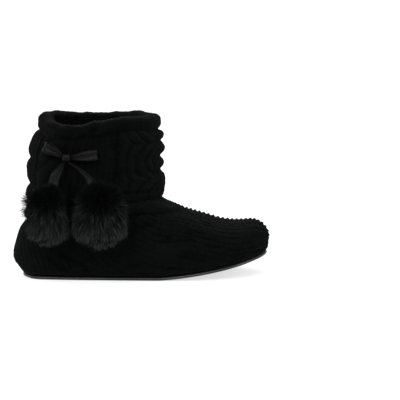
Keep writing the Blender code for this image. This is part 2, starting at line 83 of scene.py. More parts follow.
POMPOM_DROP = 0.0525
POMPOM_AHEAD = 0.0035
POMPOM_WIDTH = 0.047
REAR_POMPOM = 0.71
POMPOM_HEIGHT = 0.064
POMPOM_DEPTH = 0.040
LOCK_LENGTH = 0.0060
TAIL_INSET = 0.0060
EDGE_LEVEL = max(SOLE_THICKNESS, BINDING_DIAMETER + GAP) + GAP
X_HEEL = -SOLE_LENGTH / 2
SAG_TURN_SHARE = 0.35
SAG_SPREAD_SHARE = 0.19
FIRST_SHAFT_SECTION = 6
FIRST_HEEL_SECTION = 12
TOE_SEARCH = (3.0, 0.1)
HEEL_SEARCH = (11.0, 16.0)
LIP_FACE = -(WALL * 1.05 + CUFF_GAP)
LIP_LOW = 1.0 - CUFF_LIP_DEPTH / (RIM_HEIGHT - HEM_HEIGHT)

# For the arithmetic: the way up, what counts as nothing, and how finely places are searched for
UP = np.array([0.0, 0.0, 1.0])
TINY = 1e-12
HALVINGS = 40
FINE_STEPS = 1201
OUTLINE_POINTS = 224

# The foot's knit: where its ribs fade, from the top line down its sides and at the instep
FOOT_TOP = 0.075
SIDE_FADE = (0.048, 0.068)
INSTEP_FADE = (0.010, 0.024)
WALES_MEET_FROM = 4.4
TWIST_HEIGHT = 0.00035
KNOB_HEIGHT = 0.0008
ROLL_AT_HEEL = 0.0665
ROLL_RISE = 0.0085
ROLL_FOLD = 0.0012
GATHERS_APART = 0.0105
GATHER_DEPTH = 0.0009
PUCKER_DEPTH = 0.0012
FOOT_LUMPS = 0.0007
SEAM_SINK = 0.0006
LINING_GRID = 0.0030

# The cuff's knit: depths of its grooves and heights of its lumps
CUFF_WAY_OVER = 0.128
RIB_VALLEY = 0.0010
COLLAR_LUMPS = 0.0013
COLLAR_GROOVE = 0.0009
HEM_GROOVE = 0.0003
HEM_PINCH = 0.0023
HEM_EDGE = 0.0005
CUFF_LUMPS = 0.0013
LIP_RIB_DEPTH = 0.0008
LIP_RIBS_APART = 0.0052

# The sole and footbed
SOLE_EDGE = BINDING_DIAMETER * 0.75 + GAP
SOLE_BEVEL = SOLE_THICKNESS * 0.20
SOLE_POINTS = 112
BORDER_WIDTH = 0.0070
BORDER_INSIDE = SOLE_EDGE + BORDER_WIDTH
BORDER_LEVEL = 0.00005
DOT_HEIGHT = 0.0004
DOT_RADIUS = 0.0011
DOT_FLATNESS = 0.33
DOTS_APART = 0.0046
DOTS_REACH = 0.060
PIPING_POINTS = 320
PIPING_SIDES = 16
PULLS_APART = 0.0042
STITCH_RADIUS = 0.00028
STITCH_LENGTH = 0.0026
STITCH_SINK = 0.0003
STITCHES_AROUND = 176
FOOTBED_POINTS = 160
FOOTBED_RINGS = (0.10, 0.22, 0.36, 0.52, 0.68, 0.84, 0.96)
HEEL_CUP = 0.0008
FOOTBED_NAP = 0.0002

# The bow and the pompoms
LOOP_STEPS = 88
TAIL_STEPS = 40
RIBBON_COLUMNS = 15
KNOT_SHAPE = (1.0, 0.84, 0.95)
LOCKS = 140
TUFT = np.array([0.86, -0.15, 0.49])
FUR_LENGTH = LOCK_LENGTH * 2.6
FUR_DROOP = 0.0125
FUR_OVERLAP = 0.002
STRAND_TAPER = (1.0, 0.95, 0.85, 0.70, 0.45, 0.10)
ROOT_SHARE = 0.55
CORE_SHARE = 0.68

# Materials: spacing of a wave texture's bands at scale 1, and the slant of the yarn's plies
WAVE_PERIOD = 0.314
PLY_SLANT = math.radians(28)

# The stage. Columns of LIGHTS: name, place, size, power in watts. Angles in degrees: azimuth,
# elevation and field of view of the camera, whose picture is FIELD_WIDTH wide at its target.
FLOOR_SIZE = 60.0
LIGHTS_AIM = (0.0, 0.0, 0.07)
LIGHTS = (
    ("key_softbox", (-0.75, -1.6, 1.25), 1.1, 36.0),
    ("front_softbox", (1.35, -1.2, 0.85), 1.0, 22.0),
    ("top_softbox", (0.0, 0.5, 2.0), 1.4, 6.0),
    ("rim_softbox", (-0.2, 1.5, 1.3), 0.9, 13.0),
)
CAMERA_ANGLES = (-3.0, 8.5, 14.0)
CAMERA_TARGET = (0.0576, 0.0, 0.0757)
FIELD_WIDTH = 0.4094

# The upper's sections from the toe, round the heel and up the shaft.
# Shares of SOLE_LENGTH: top_x, low_x. Shares of RIM_HEIGHT: top_z, low_z. Shares of BALL_WIDTH:
# outer, inner. Then the height share of the widest place and the roundness of both halves.
SECTIONS = np.array((
    # top_x, top_z, low_x, low_z, outer, inner, widest, round_up, round_low
    (1.0245, 0.066, 1.0245, 0.058, 0.000, 0.000, 0.50, 2.0, 2.0),
    (1.0180, 0.128, 1.0140, 0.004, 0.145, 0.165, 0.50, 2.1, 2.4),
    (0.9960, 0.176, 0.9950, -0.028, 0.245, 0.268, 0.48, 2.1, 3.0),
    (0.9600, 0.216, 0.9550, -0.038, 0.335, 0.356, 0.44, 2.1, 3.8),
    (0.9020, 0.232, 0.8980, -0.038, 0.424, 0.438, 0.40, 2.1, 4.0),
    (0.8290, 0.269, 0.8240, -0.038, 0.482, 0.485, 0.38, 2.0, 4.0),
    (0.7510, 0.327, 0.7460, -0.038, 0.502, 0.498, 0.37, 2.0, 4.0),
    (0.6780, 0.382, 0.6620, -0.038, 0.500, 0.484, 0.38, 2.0, 4.0),
    (0.6220, 0.428, 0.5640, -0.038, 0.486, 0.450, 0.40, 2.0, 4.0),
    (0.5860, 0.460, 0.4420, -0.038, 0.466, 0.430, 0.42, 2.0, 4.0),
    (0.5640, 0.495, 0.2960, -0.038, 0.450, 0.424, 0.44, 2.0, 3.7),
    (0.5560, 0.536, 0.1550, -0.038, 0.440, 0.424, 0.45, 2.1, 3.2),
    (0.5530, 0.583, 0.0300, -0.038, 0.438, 0.428, 0.46, 2.1, 2.6),
    (0.5520, 0.616, 0.0050, -0.010, 0.438, 0.432, 0.47, 2.2, 2.4),
    (0.5510, 0.648, -0.0160, 0.026, 0.440, 0.436, 0.48, 2.2, 2.3),
    (0.5500, 0.680, -0.0380, 0.067, 0.441, 0.438, 0.49, 2.2, 2.2),
    (0.5490, 0.712, -0.0450, 0.120, 0.442, 0.440, 0.50, 2.2, 2.2),
    (0.5490, 0.744, -0.0330, 0.204, 0.442, 0.440, 0.50, 2.2, 2.2),
    (0.5520, 0.776, -0.0140, 0.292, 0.438, 0.436, 0.50, 2.2, 2.3),
    (0.5530, 0.802, 0.0080, 0.336, 0.433, 0.431, 0.50, 2.2, 2.3),
    (0.5530, 0.828, 0.0200, 0.394, 0.429, 0.427, 0.50, 2.2, 2.3),
    (0.5520, 0.856, 0.0330, 0.462, 0.424, 0.423, 0.50, 2.2, 2.3),
    (0.5500, 0.881, 0.0450, 0.548, 0.420, 0.420, 0.50, 2.2, 2.3),
    (0.5470, 0.910, 0.0510, 0.650, 0.416, 0.416, 0.50, 2.2, 2.3),
    (0.5430, 0.930, 0.0540, 0.764, 0.410, 0.410, 0.50, 2.2, 2.3),
    (0.5410, 0.958, 0.0730, 0.887, 0.404, 0.404, 0.50, 2.2, 2.3),
    (0.5400, 0.998, 0.0990, 1.012, 0.400, 0.400, 0.50, 2.2, 2.3),
))
LAST_SECTION = len(SECTIONS) - 1

# The cuff's profile, from its hem up the outside to its roll, notched where the cables cross.
# Share of the cuff's height, then shares of its thickness at the front, the heel and both sides.
CUFF_PROFILE = (
    # height, front, heel, side
    (0.000, 0.48, 0.48, 0.48),
    (0.045, 0.84, 0.84, 0.84),
    (0.110, 1.00, 0.92, 1.00),
    (0.190, 1.04, 0.76, 1.00),
    (0.270, 1.02, 1.00, 0.96),
    (0.350, 0.68, 1.04, 0.90),
    (0.435, 1.00, 1.00, 0.92),
    (0.525, 0.68, 0.68, 0.90),
    (0.620, 1.02, 0.92, 0.92),
    (0.722, 0.68, 0.96, 0.90),
    (0.800, 0.96, 0.92, 0.92),
    (0.870, 0.70, 0.70, 0.84),
    (0.930, 0.92, 0.92, 0.94),
    (0.975, 0.98, 0.98, 0.98),
)
# Heights of the hidden face that lies on the shaft
CUFF_LINING = (0.82, 0.64, 0.46, 0.28, 0.12)

# The roll at the rim: shares of the cuff's thickness out of the shaft, and of its crown up
CUFF_ROLL = ((0.92, 0.22), (0.66, 0.68), (0.30, 0.94), (-0.10, 1.02), (-0.55, 0.86), (-0.95, 0.45),
             (-1.08, -0.15))

# Columns of cable round the cuff. Columns: place round it from the front by the outer side, half
# width, depth of its strands and of the ladder beside it, all in metres, then what it holds. A rope
# or plait gives the length of a crossing, its lean (0 is a plait) and the height of one crossing. A
# fan of nested arcs gives their spacing and the heights of their middles. Bobbles give the heights
# of their notches.
CABLES = (
    (0.000, 0.0235, 0.0028, 0.0000, "bobbles", (0.00, 0.35, 0.525, 0.722, 0.87)),
    (0.130, 0.0225, 0.0032, 0.0024, "fan", (0.0080, (0.03, 0.49, 0.95))),
    (0.375, 0.0150, 0.0034, 0.0010, "rope", (0.0250, -1.0, 0.300)),
    (0.500, 0.0230, 0.0030, 0.0006, "bobbles", (0.00, 0.19, 0.525, 0.87)),
    (0.620, 0.0165, 0.0036, 0.0026, "rope", (0.0250, 1.0, 0.420)),
    (0.750, 0.0140, 0.0040, 0.0030, "rope", (0.0136, 0.0, 0.480)),
    (0.872, 0.0220, 0.0032, 0.0020, "fan", (0.0080, (0.03, 0.49, 0.95))),
)

# Folds of the foot, placed on its side view. Columns: start x and z, end x and z (shares
# of SOLE_LENGTH from the heel and of RIM_HEIGHT from the floor), half width and depth in metres (a
# ridge is negative), and the side: -1 outer, 1 inner, 0 both.
FOLDS = (
    # The slack knit that folds under the hem
    (0.425, 0.430, 0.512, 0.448, 0.0032, 0.0042, 0),
    (0.200, 0.375, 0.395, 0.415, 0.0026, 0.0022, 0),
    (0.020, 0.360, 0.200, 0.372, 0.0024, 0.0024, 0),
    (0.440, 0.340, 0.560, 0.365, 0.0034, 0.0010, 0),
    # Broken valleys between the ribs, from the instep towards the toe
    (0.547, 0.300, 0.639, 0.292, 0.0013, 0.0011, 0),
    (0.647, 0.318, 0.744, 0.308, 0.0012, 0.0010, 0),
    (0.543, 0.255, 0.693, 0.270, 0.0013, 0.0010, -1),
    (0.656, 0.288, 0.860, 0.262, 0.0013, 0.0010, -1),
    (0.731, 0.241, 0.814, 0.215, 0.0012, 0.0010, 0),
    (0.630, 0.215, 0.670, 0.196, 0.0012, 0.0010, -1),
    # Soft creases lower down
    (0.330, 0.250, 0.500, 0.330, 0.0040, 0.0009, -1),
    (0.600, 0.180, 0.740, 0.150, 0.0034, 0.0008, -1),
    (0.150, 0.200, 0.270, 0.080, 0.0034, 0.0011, 0),
    (0.080, 0.190, 0.180, 0.075, 0.0032, 0.0010, -1),
    (0.260, 0.180, 0.350, 0.075, 0.0034, 0.0009, 1),
    (0.535, 0.100, 0.647, 0.086, 0.0020, 0.0013, -1),
    (0.660, 0.080, 0.735, 0.072, 0.0018, 0.0012, -1),
    (0.785, 0.092, 0.848, 0.096, 0.0018, 0.0011, -1),
    (0.860, 0.170, 0.960, 0.190, 0.0030, 0.0010, 0),
    (0.500, 0.200, 0.640, 0.210, 0.0060, -0.0012, 0),
)


def add_size(name, text, default, low=0.0):
    """A length property in metres."""
    return bpy.props.FloatProperty(name=name, description=text, default=default, min=low,
                                   unit="LENGTH", precision=5)


def linear(text):
    """A colour for Blender from an sRGB hex value."""
    parts = [int(text[k:k + 2], 16) / 255 for k in (1, 3, 5)]
    return tuple(c / 12.92 if c <= 0.04045 else ((c + 0.055) / 1.055) ** 2.4 for c in parts)


def add_colour(name, text, value):
    """A colour property whose default is given as an sRGB hex value."""
    return bpy.props.FloatVectorProperty(name=name, description=text, default=linear(value),
                                         min=0.0, max=1.0, size=3, subtype="COLOR")


class SlipperSizes(bpy.types.PropertyGroup):
    """Sizes of the knit, the fur and the trim."""
    wale: add_size("Wale width", "Width of one column of stitches on the foot", 0.0062, 0.001)
    course: add_size("Stitch height", "Height of one row of stitches", 0.0050, 0.001)
    rib_depth: add_size("Rib depth", "Depth of the valleys between the foot's ribs", 0.0018)
    stitch_depth: add_size("Stitch depth", "How far each stitch stands out", 0.0010)
    roll_height: add_size("Slouch roll", "How far the roll under the cuff stands out", 0.0054)
    roll_reach: add_size("Slouch roll reach", "Half the height of the roll", 0.0072, 0.001)
    foot_grid: add_size("Foot grid", "Spacing of the points of the foot's knit", 0.00095, 0.0004)
    cuff_grid: add_size("Cuff grid", "Spacing of the points of the cuff's knit", 0.00090, 0.0004)
    strand_width: add_size("Fur strand width", "Width of a strand at its root", 0.00060, 0.0001)
    strand_count: bpy.props.IntProperty(name="Fur strands", default=15000, min=100,
                                        description="Strands of fur on each pompom")
    ribbon_thickness: add_size("Ribbon thickness", "Thickness of the satin ribbon", 0.0006, 0.0001)


class SlipperColours(bpy.types.PropertyGroup):
    """Colours of the slipper's finishes."""
    # The knit's two colours paint light by its relief: the dark one in the valleys is the black
    # yarn with painted shade, the light one on the crowns is a painted highlight
    knit: add_colour("Knit", "Black acrylic yarn in the valleys of the knit", "#020202")
    knit_painted_highlight: add_colour("Knit highlights", "The same yarn where it is brushed up", "#070808")
    lining: add_colour("Lining", "Napped fleece inside the shoe", "#0d0e10")
    footbed: add_colour("Footbed", "Pile of the footbed", "#141517")
    ribbon: add_colour("Ribbon", "Black polyester satin", "#09090a")
    fur_root: add_colour("Fur roots", "Faux fur near its backing", "#050606")
    fur_tip: add_colour("Fur tips", "Frosted tips of the faux fur", "#484f4b")
    piping: add_colour("Piping", "Glossy coated piping round the sole", "#101113")
    tread: add_colour("Tread", "Grey non-slip sole fabric", "#77797c")
    floor: add_colour("Floor", "Lit acrylic of the studio floor", "#fbfbfb")


def smooth_curve(t, start, end, out, into):
    """Points of a cubic at shares t of its way from start to end, with the slopes at both."""
    return ((2 * t**3 - 3 * t**2 + 1) * start + (t**3 - 2 * t**2 + t) * out
            + (3 * t**2 - 2 * t**3) * end + (t**3 - t**2) * into)


def read_sections(s):
    """Rows of SECTIONS at the places s, with a smooth curve through the rows."""
    at = np.clip(s, 0.0, LAST_SECTION)
    i = np.minimum(at.astype(int), LAST_SECTION - 1)
    t = (at - i)[..., None]
    before, start, end, after = (SECTIONS[np.clip(i + k, 0, LAST_SECTION)] for k in (-1, 0, 1, 2))
    return np.moveaxis(smooth_curve(t, start, end, (end - before) / 2, (after - start) / 2), -1, 0)


def lift(x):
    """Height of the sole's underside above the floor at x."""
    past = (np.minimum((x - X_HEEL) / SOLE_LENGTH, 1.0) - SPRING_START) / (1.0 - SPRING_START)
    return TOE_SPRING * np.maximum(past, 0.0) ** SPRING_CURVE


def together(*values):
    """Numbers or arrays of them as arrays of one shape."""
    return np.broadcast_arrays(*(np.asarray(value, float) for value in values))


def upper_points(s, turn):
    """Points of the upper's outer face: s along its sections, turn round each from its top."""
    s, turn = together(s, turn)
    top_x, top_z, low_x, low_z, outer, inner, widest, round_up, round_low = read_sections(s)
    share_round = turn % 1.0
    angle = 2 * math.pi * share_round
    on_outer = angle <= math.pi
    half_width = np.where(on_outer, outer, inner) * BALL_WIDTH
    upper_half = np.cos(angle) >= 0
    power = 2 / np.where(upper_half, round_up, round_low)
    rise = np.abs(np.cos(angle)) ** power
    share = np.where(upper_half, widest + (1 - widest) * rise, widest - widest * rise)
    y = np.where(on_outer, -1.0, 1.0) * half_width * np.abs(np.sin(angle)) ** power
    x = X_HEEL + SOLE_LENGTH * (low_x + share * (top_x - low_x))
    climb = RIM_HEIGHT * (low_z + share * (top_z - low_z))
    off = np.minimum(np.abs(share_round - SAG_TURN_SHARE) / SAG_SPREAD_SHARE, 1.0)
    hang = RIM_SAG * np.cos(math.pi * off / 2) ** 2 + RIM_DIP * np.minimum(np.sin(angle), 0.0) ** 2
    sag = hang * np.maximum(climb / RIM_HEIGHT, 0.0) ** 3
    return np.stack([x, y, EDGE_LEVEL + lift(x) + climb - sag], -1)


def unit(vectors):
    """Vectors made one long."""
    return vectors / np.maximum(np.linalg.norm(vectors, axis=-1, keepdims=True), TINY)


def run_length(points, axis=0):
    """Distance travelled to each point of a line, or of each line of a grid."""
    steps = np.linalg.norm(np.diff(points, axis=axis), axis=-1)
    start = np.zeros_like(steps.take([0], axis=axis))
    return np.concatenate([start, np.cumsum(steps, axis=axis)], axis=axis)


def away_from(centre, points, normals):
    """Normals at points, turned to point away from a centre."""
    side = np.sum(normals * (points - centre), axis=-1, keepdims=True)
    return normals * np.sign(side + TINY)


def halved(low, high, stays_low):
    """Bounds of the place between low and high where a test that holds at low stops holding."""
    for _ in range(HALVINGS):
        middle = (low + high) / 2
        holds = stays_low(middle)
        low = np.where(holds, middle, low)
        high = np.where(holds, high, middle)
    return low, high


def upper_normals(s, turn, step, round_step):
    """Unit normals of the upper's outer face, from small steps along it and round it."""
    s, turn = np.asarray(s), np.asarray(turn)
    along = upper_points(s + step, turn) - upper_points(s - step, turn)
    round_it = upper_points(s, turn + round_step) - upper_points(s, turn - round_step)
    return unit(np.cross(along, round_it))


def inner_points(s, turn):
    """Points of the upper's inner face: the outer face moved in by the wall."""
    return upper_points(s, turn) - upper_normals(s, turn, 0.02, 0.004) * WALL


def above_sole(points):
    """How far points lie above the sole line."""
    return points[..., 2] - EDGE_LEVEL - lift(points[..., 0])


def edge_turns(face, s, outer_side):
    """How far round each section a face meets the sole line, or 0.5 where it stays above it."""
    side = np.full(np.shape(s), 0.25 if outer_side else 0.75)
    bottom = np.full(np.shape(s), 0.5)
    open_below = above_sole(face(s, bottom)) < 0
    low, high = halved(side, bottom, lambda turn: above_sole(face(s, turn)) > 0)
    return np.where(open_below, (low + high) / 2, 0.5)


def even_stations(step):
    """Places along the upper at even steps of the mean of its lines, and the distance to each."""
    fine = np.linspace(0, LAST_SECTION, FINE_STEPS)
    lines = [np.linalg.norm(np.diff(upper_points(fine, turn), axis=0), axis=1)
             for turn in (0.0, 0.5, 0.25)]
    travelled = np.concatenate([[0.0], np.cumsum(sum(lines) / 3)])
    marks = np.linspace(0, travelled[-1], int(travelled[-1] / step) + 1)
    return np.interp(marks, travelled, fine), marks


def under_cuff(turn, height_share):
    """Places along the upper at shares of the cuff's height, from its hem to the rim."""
    turn, height_share = together(turn, height_share)
    last = np.full(turn.shape, float(LAST_SECTION))
    rim = upper_points(last, turn)[..., 2] - EDGE_LEVEL
    toward_front = np.cos(2 * math.pi * turn)
    hem = HEM_HEIGHT - HEM_TILT * (1 - toward_front) / 2
    height = hem + (rim - hem) * height_share
    first = np.where(toward_front < -0.3, float(FIRST_HEEL_SECTION), float(FIRST_SHAFT_SECTION))
    low, high = halved(first, last, lambda s: upper_points(s, turn)[..., 2] - EDGE_LEVEL < height)
    return np.where(height_share >= 1, float(LAST_SECTION), (low + high) / 2)


def outward(turn, s):
    """Level unit normals of the shaft, pointing out."""
    step = 0.012
    along = upper_points(s, turn + step) - upper_points(s, turn - step)
    normals = unit(np.stack([along[..., 1], -along[..., 0], np.zeros(along.shape[:-1])], -1))
    centre = (upper_points(s, 0.0) + upper_points(s, 0.5)) / 2
    return away_from(centre, upper_points(s, turn), normals)


def on_cuff(turn, height_share, out, above=0.0):
    """Points off the shaft's outer face: turn, share of the cuff's height, metres out and up."""
    turn, height_share = together(turn, height_share)
    s = under_cuff(turn, height_share)
    points = upper_points(s, turn) + outward(turn, s) * np.asarray(out)[..., None]
    points[..., 2] += above
    return points


class Noise:
    """Smooth random values on a plane, the same in every run."""

    def __init__(self, seed, size=64):
        self.size = size
        self.grid = np.random.default_rng(seed).uniform(-1, 1, (size, size))

    def at(self, u, v):
        """Values at the points (u, v), whose unit is one cell."""
        u, v = together(u, v)
        i, j = np.floor(u).astype(int), np.floor(v).astype(int)
        fu, fv = (part * part * (3 - 2 * part) for part in (u - i, v - j))
        n = self.size
        near, far = ((1 - fu) * self.grid[i % n, row % n] + fu * self.grid[(i + 1) % n, row % n]
                     for row in (j, j + 1))
        return near * (1 - fv) + far * fv


def step_up(value, start, end):
    """0 before start, 1 after end, smooth between them."""
    t = np.clip((value - start) / (end - start), 0, 1)
    return t * t * (3 - 2 * t)


def grid_normals(points):
    """Unit normals of a grid of points, from the steps along its two axes."""
    return unit(np.cross(np.gradient(points, axis=1), np.gradient(points, axis=0)))


def start_shape(add, **settings):
    """A shape from one of Blender's operators, alone in the selection."""
    if bpy.context.object and bpy.context.object.mode != "OBJECT":
        bpy.ops.object.mode_set(mode="OBJECT")
    bpy.ops.object.select_all(action="DESELECT")
    add(**settings)
    return bpy.context.object


def edit_shape(*steps):
    """Runs operators of edit mode, each with its settings, on the whole of the active mesh."""
    bpy.ops.object.mode_set(mode="EDIT")
    bpy.ops.mesh.select_all(action="SELECT")
    for step, settings in steps:
        step(**settings)
    bpy.ops.object.mode_set(mode="OBJECT")


def mesh_piece(name, points, faces, uvs, mat, merge=True, relief_shade=None):
    """A smooth mesh object from points, faces and a UV per point.

    merge joins doubles and turns the faces out; the last argument, how far the knit stands up at
    each point, paints shade in its valleys and highlight on its crowns.
    """
    mesh = bpy.data.meshes.new(name)
    mesh.from_pydata(points.reshape(-1, 3).tolist(), [], faces)
    layer = mesh.uv_layers.new(name="UVMap")
    corner = np.zeros(len(mesh.loops), int)
    mesh.loops.foreach_get("vertex_index", corner)
    layer.data.foreach_set("uv", uvs.reshape(-1, 2)[corner].astype(np.float32).ravel())
    # A point attribute of painted shade and highlight, from how far the knit stands up
    if relief_shade is not None:
        mark = mesh.attributes.new("relief_shade", "FLOAT", "POINT")
        mark.data.foreach_set("value", relief_shade.astype(np.float32).ravel())
    if merge:
        shape = bmesh.new()
        shape.from_mesh(mesh)
        bmesh.ops.remove_doubles(shape, verts=shape.verts, dist=1e-6)
        bmesh.ops.dissolve_degenerate(shape, edges=shape.edges, dist=1e-7)
        bmesh.ops.recalc_face_normals(shape, faces=shape.faces)
        shape.to_mesh(mesh)
        shape.free()
    mesh.shade_smooth()
    mesh.materials.append(mat)
    piece = bpy.data.objects.new(name, mesh)
    bpy.context.scene.collection.objects.link(piece)
    return piece


def set_names(piece, name, mat):
    """Names a shape and its mesh, and gives it a smooth finish."""
    piece.name = piece.data.name = name
    piece.data.shade_smooth()
    piece.data.materials.append(mat)


def grid_faces(rows, columns, around=False, along=False):
    """Quads of a grid of points, as lists; around and along close it on itself."""
    i = np.arange(rows if along else rows - 1)[:, None]
    j = np.arange(columns if around else columns - 1)[None, :]
    a, b = i * columns + j, i * columns + (j + 1) % columns
    c, d = ((i + 1) % rows) * columns + (j + 1) % columns, ((i + 1) % rows) * columns + j
    return np.stack([a, b, c, d], -1).reshape(-1, 4).tolist()


def stitches(across, along, slant=0.55):
    """Height of plain V stitches, 0 to 1: across and along are counted in wales and rows."""
    side = across - np.round(across)
    leg = np.sqrt(np.clip(1 - ((np.abs(side) - 0.25) / 0.27) ** 2, 0, 1))
    phase = along + slant * np.abs(side) * 2
    bead = np.sqrt(np.clip(1 - (2 * (phase - np.round(phase))) ** 2, 0, 1))
    return leg * (0.35 + 0.65 * bead)


def finish_piece(piece, nodes=()):
    """Places a finished piece on the body, and hides the solids that it stands for."""
    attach(piece, "root")
    if nodes:
        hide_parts(*nodes)
    return piece


def add_node(tree, kind, settings=None, inputs=None):
    """Adds a node with its settings; an input that is a socket is linked, any other is a value."""
    node = tree.nodes.new(kind)
    for key, value in (settings or {}).items():
        setattr(node, key, value)
    for key, value in (inputs or {}).items():
        if isinstance(value, bpy.types.NodeSocket):
            tree.links.new(value, node.inputs[key])
        else:
            node.inputs[key].default_value = value
    return node


def new_material(name, **values):
    """A material with a Principled shader, and its constant values on the shader's own sockets."""
    mat = bpy.data.materials.new(name)
    mat.use_nodes = True
    shader = mat.node_tree.nodes["Principled BSDF"]
    for key, value in values.items():
        shader.inputs[key.replace("_", " ")].default_value = value
    return mat, mat.node_tree, shader


def shade(colour, share):
    """A colour made darker or lighter."""
    return [channel * share for channel in colour]


def texture(tree, kind, space, settings=None, **values):
    """The factor of a procedural texture, in Object or UV space, both of them in metres."""
    where = add_node(tree, "ShaderNodeTexCoord").outputs[space]
    inputs = {key.replace("_", " "): value for key, value in values.items()}
    return add_node(tree, kind, settings, {"Vector": where, **inputs}).outputs["Fac"]


def speckle(tree, scale, detail, roughness=0.5):
    """Noise in object space: scale is cells to the metre."""
    return texture(tree, "ShaderNodeTexNoise", "Object", Scale=scale, Detail=detail,
                   Roughness=roughness)


def threads(tree, space, way, apart, distortion=0.0):
    """Even bands across one axis, a given distance apart."""
    return texture(tree, "ShaderNodeTexWave", space, {"wave_type": "BANDS", "bands_direction": way},
                   Scale=WAVE_PERIOD / apart, Distortion=distortion)


def blend(tree, value, share, other):
    """A share of one value added to another."""
    return add_node(tree, "ShaderNodeMath", {"operation": "MULTIPLY_ADD"},
                    {0: value, 1: share, 2: other}).outputs["Value"]


def two_tone(tree, shader, value, low, dark, high, light):
    """Colours the shader by a value: dark at low and below it, light at high and above it."""
    ramp = add_node(tree, "ShaderNodeValToRGB", None, {"Fac": value})
    for element, at, colour in zip(ramp.color_ramp.elements, (low, high), (dark, light)):
        element.position = at
        element.color = (*colour, 1.0)
    tree.links.new(ramp.outputs["Color"], shader.inputs["Base Color"])


def add_bump(tree, shader, value, strength, distance):
    """Bump from a value, with its height in metres."""
    bump = add_node(tree, "ShaderNodeBump", None,
                    {"Height": value, "Strength": strength, "Distance": distance})
    tree.links.new(bump.outputs["Normal"], shader.inputs["Normal"])


def yarn_material(name, dark, light, ply=0.0011):
    """Spun acrylic yarn in a chunky knit: matt and hairy, so that edges catch a dull sheen."""
    mat, tree, shader = new_material(name, Roughness=0.78, IOR=1.5, Specular_IOR_Level=0.015,
                                     Sheen_Weight=0.010, Sheen_Roughness=0.35,
                                     Sheen_Tint=(0.62, 0.66, 0.66, 1.0))
    # Plies of the yarn lie aslant in each stitch, along the UV map in metres
    where = add_node(tree, "ShaderNodeTexCoord")
    turned = add_node(tree, "ShaderNodeMapping", None,
                      {"Vector": where.outputs["UV"], "Rotation": (0.0, 0.0, PLY_SLANT)})
    plies = add_node(tree, "ShaderNodeTexWave", {"wave_type": "BANDS", "bands_direction": "X"},
                     {"Vector": turned.outputs["Vector"], "Scale": WAVE_PERIOD / ply,
                      "Distortion": 1.6, "Detail": 2.0, "Detail Scale": 1.4}).outputs["Fac"]
    # Loose fibres, and uneven dye and pilling over a few stitches
    fuzz = speckle(tree, 2500.0, 3.0, 0.6)
    patches = speckle(tree, 130.0, 5.0, 0.75)
    # Painted shade and highlight: the knit is painted dark in its valleys and light on its crowns,
    # by the height of its relief
    crown = add_node(tree, "ShaderNodeAttribute", {"attribute_name": "relief_shade"}).outputs["Fac"]
    tone = blend(tree, blend(tree, plies, 0.35, patches), 0.90, crown)
    two_tone(tree, shader, tone, 0.58, dark, 1.0, light)
    add_bump(tree, shader, blend(tree, fuzz, 0.6, plies), 0.7, 0.0007)
    return mat


def fleece_material(name, colour, pile=0.0012):
    """Napped polyester fleece: matt curled pile that swallows the light."""
    mat, tree, shader = new_material(name, Roughness=0.95, Specular_IOR_Level=0.04,
                                     Sheen_Weight=0.02, Sheen_Roughness=0.6)
    curls = speckle(tree, 1 / pile, 4.0, 0.65)
    two_tone(tree, shader, curls, 0.3, shade(colour, 0.45), 0.75, colour)
    add_bump(tree, shader, curls, 0.8, 0.0008)
    return mat


def satin_material(name, colour):
    """Polyester satin ribbon: bright filaments lie along it, so it shines in a soft band."""
    mat, tree, shader = new_material(name, Roughness=0.36, IOR=1.52, Specular_IOR_Level=0.045,
                                     Anisotropic=0.5, Sheen_Weight=0.008,
                                     Sheen_Tint=(0.7, 0.75, 0.85, 1.0))
    filling = threads(tree, "UV", "Y", 0.00035, 0.4)
    soft = speckle(tree, 320.0, 2.0)
    two_tone(tree, shader, soft, 0.3, shade(colour, 0.75), 0.7, shade(colour, 1.2))
    add_bump(tree, shader, blend(tree, filling, 0.15, soft), 0.35, 0.0004)
    return mat


def fur_material(name, root, tip):
    """Faux fur of acrylic fibre: dark at the backing, frosted at the tips, with a silky sheen."""
    mat, tree, shader = new_material(name, Roughness=0.5, IOR=1.5, Specular_IOR_Level=0.03,
                                     Sheen_Weight=0.008, Sheen_Roughness=0.4)
    where = add_node(tree, "ShaderNodeTexCoord")
    parts = add_node(tree, "ShaderNodeSeparateXYZ", None, {"Vector": where.outputs["UV"]})
    # U is a number of the strand's own, its frost with painted shade at the pompom's top, so that
    # some strands stay dark to their tips
    along = add_node(tree, "ShaderNodeMath", {"operation": "MULTIPLY"},
                     {0: parts.outputs["Y"], 1: parts.outputs["X"]})
    two_tone(tree, shader, along.outputs["Value"], 0.25, root, 0.95, tip)
    return mat


def coated_material(name, colour):
    """Coated polyester piping: smooth and glossy, with the cloth's faint grain under the coat."""
    mat, tree, shader = new_material(name, Roughness=0.36, IOR=1.5, Specular_IOR_Level=0.25,
                                     Coat_Weight=0.08, Coat_Roughness=0.25)
    grain = speckle(tree, 1400.0, 2.0)
    two_tone(tree, shader, grain, 0.0, shade(colour, 0.7), 1.0, shade(colour, 1.25))
    add_bump(tree, shader, grain, 0.2, 0.0002)
    return mat


def tread_material(name, colour):
    """Woven non-slip sole cloth: matt grey threads 0.8 mm apart, darker in worn patches."""
    mat, tree, shader = new_material(name, Roughness=0.78, IOR=1.5)
    warp, weft = (threads(tree, "Object", way, 0.0008) for way in ("X", "Y"))
    cloth = add_node(tree, "ShaderNodeMath", {"operation": "MULTIPLY"},
                     {0: warp, 1: weft}).outputs["Value"]
    wear = speckle(tree, 45.0, 4.0)
    two_tone(tree, shader, blend(tree, cloth, 0.5, wear), 0.25, shade(colour, 0.55), 0.9, colour)
    add_bump(tree, shader, cloth, 0.6, 0.0003)
    return mat


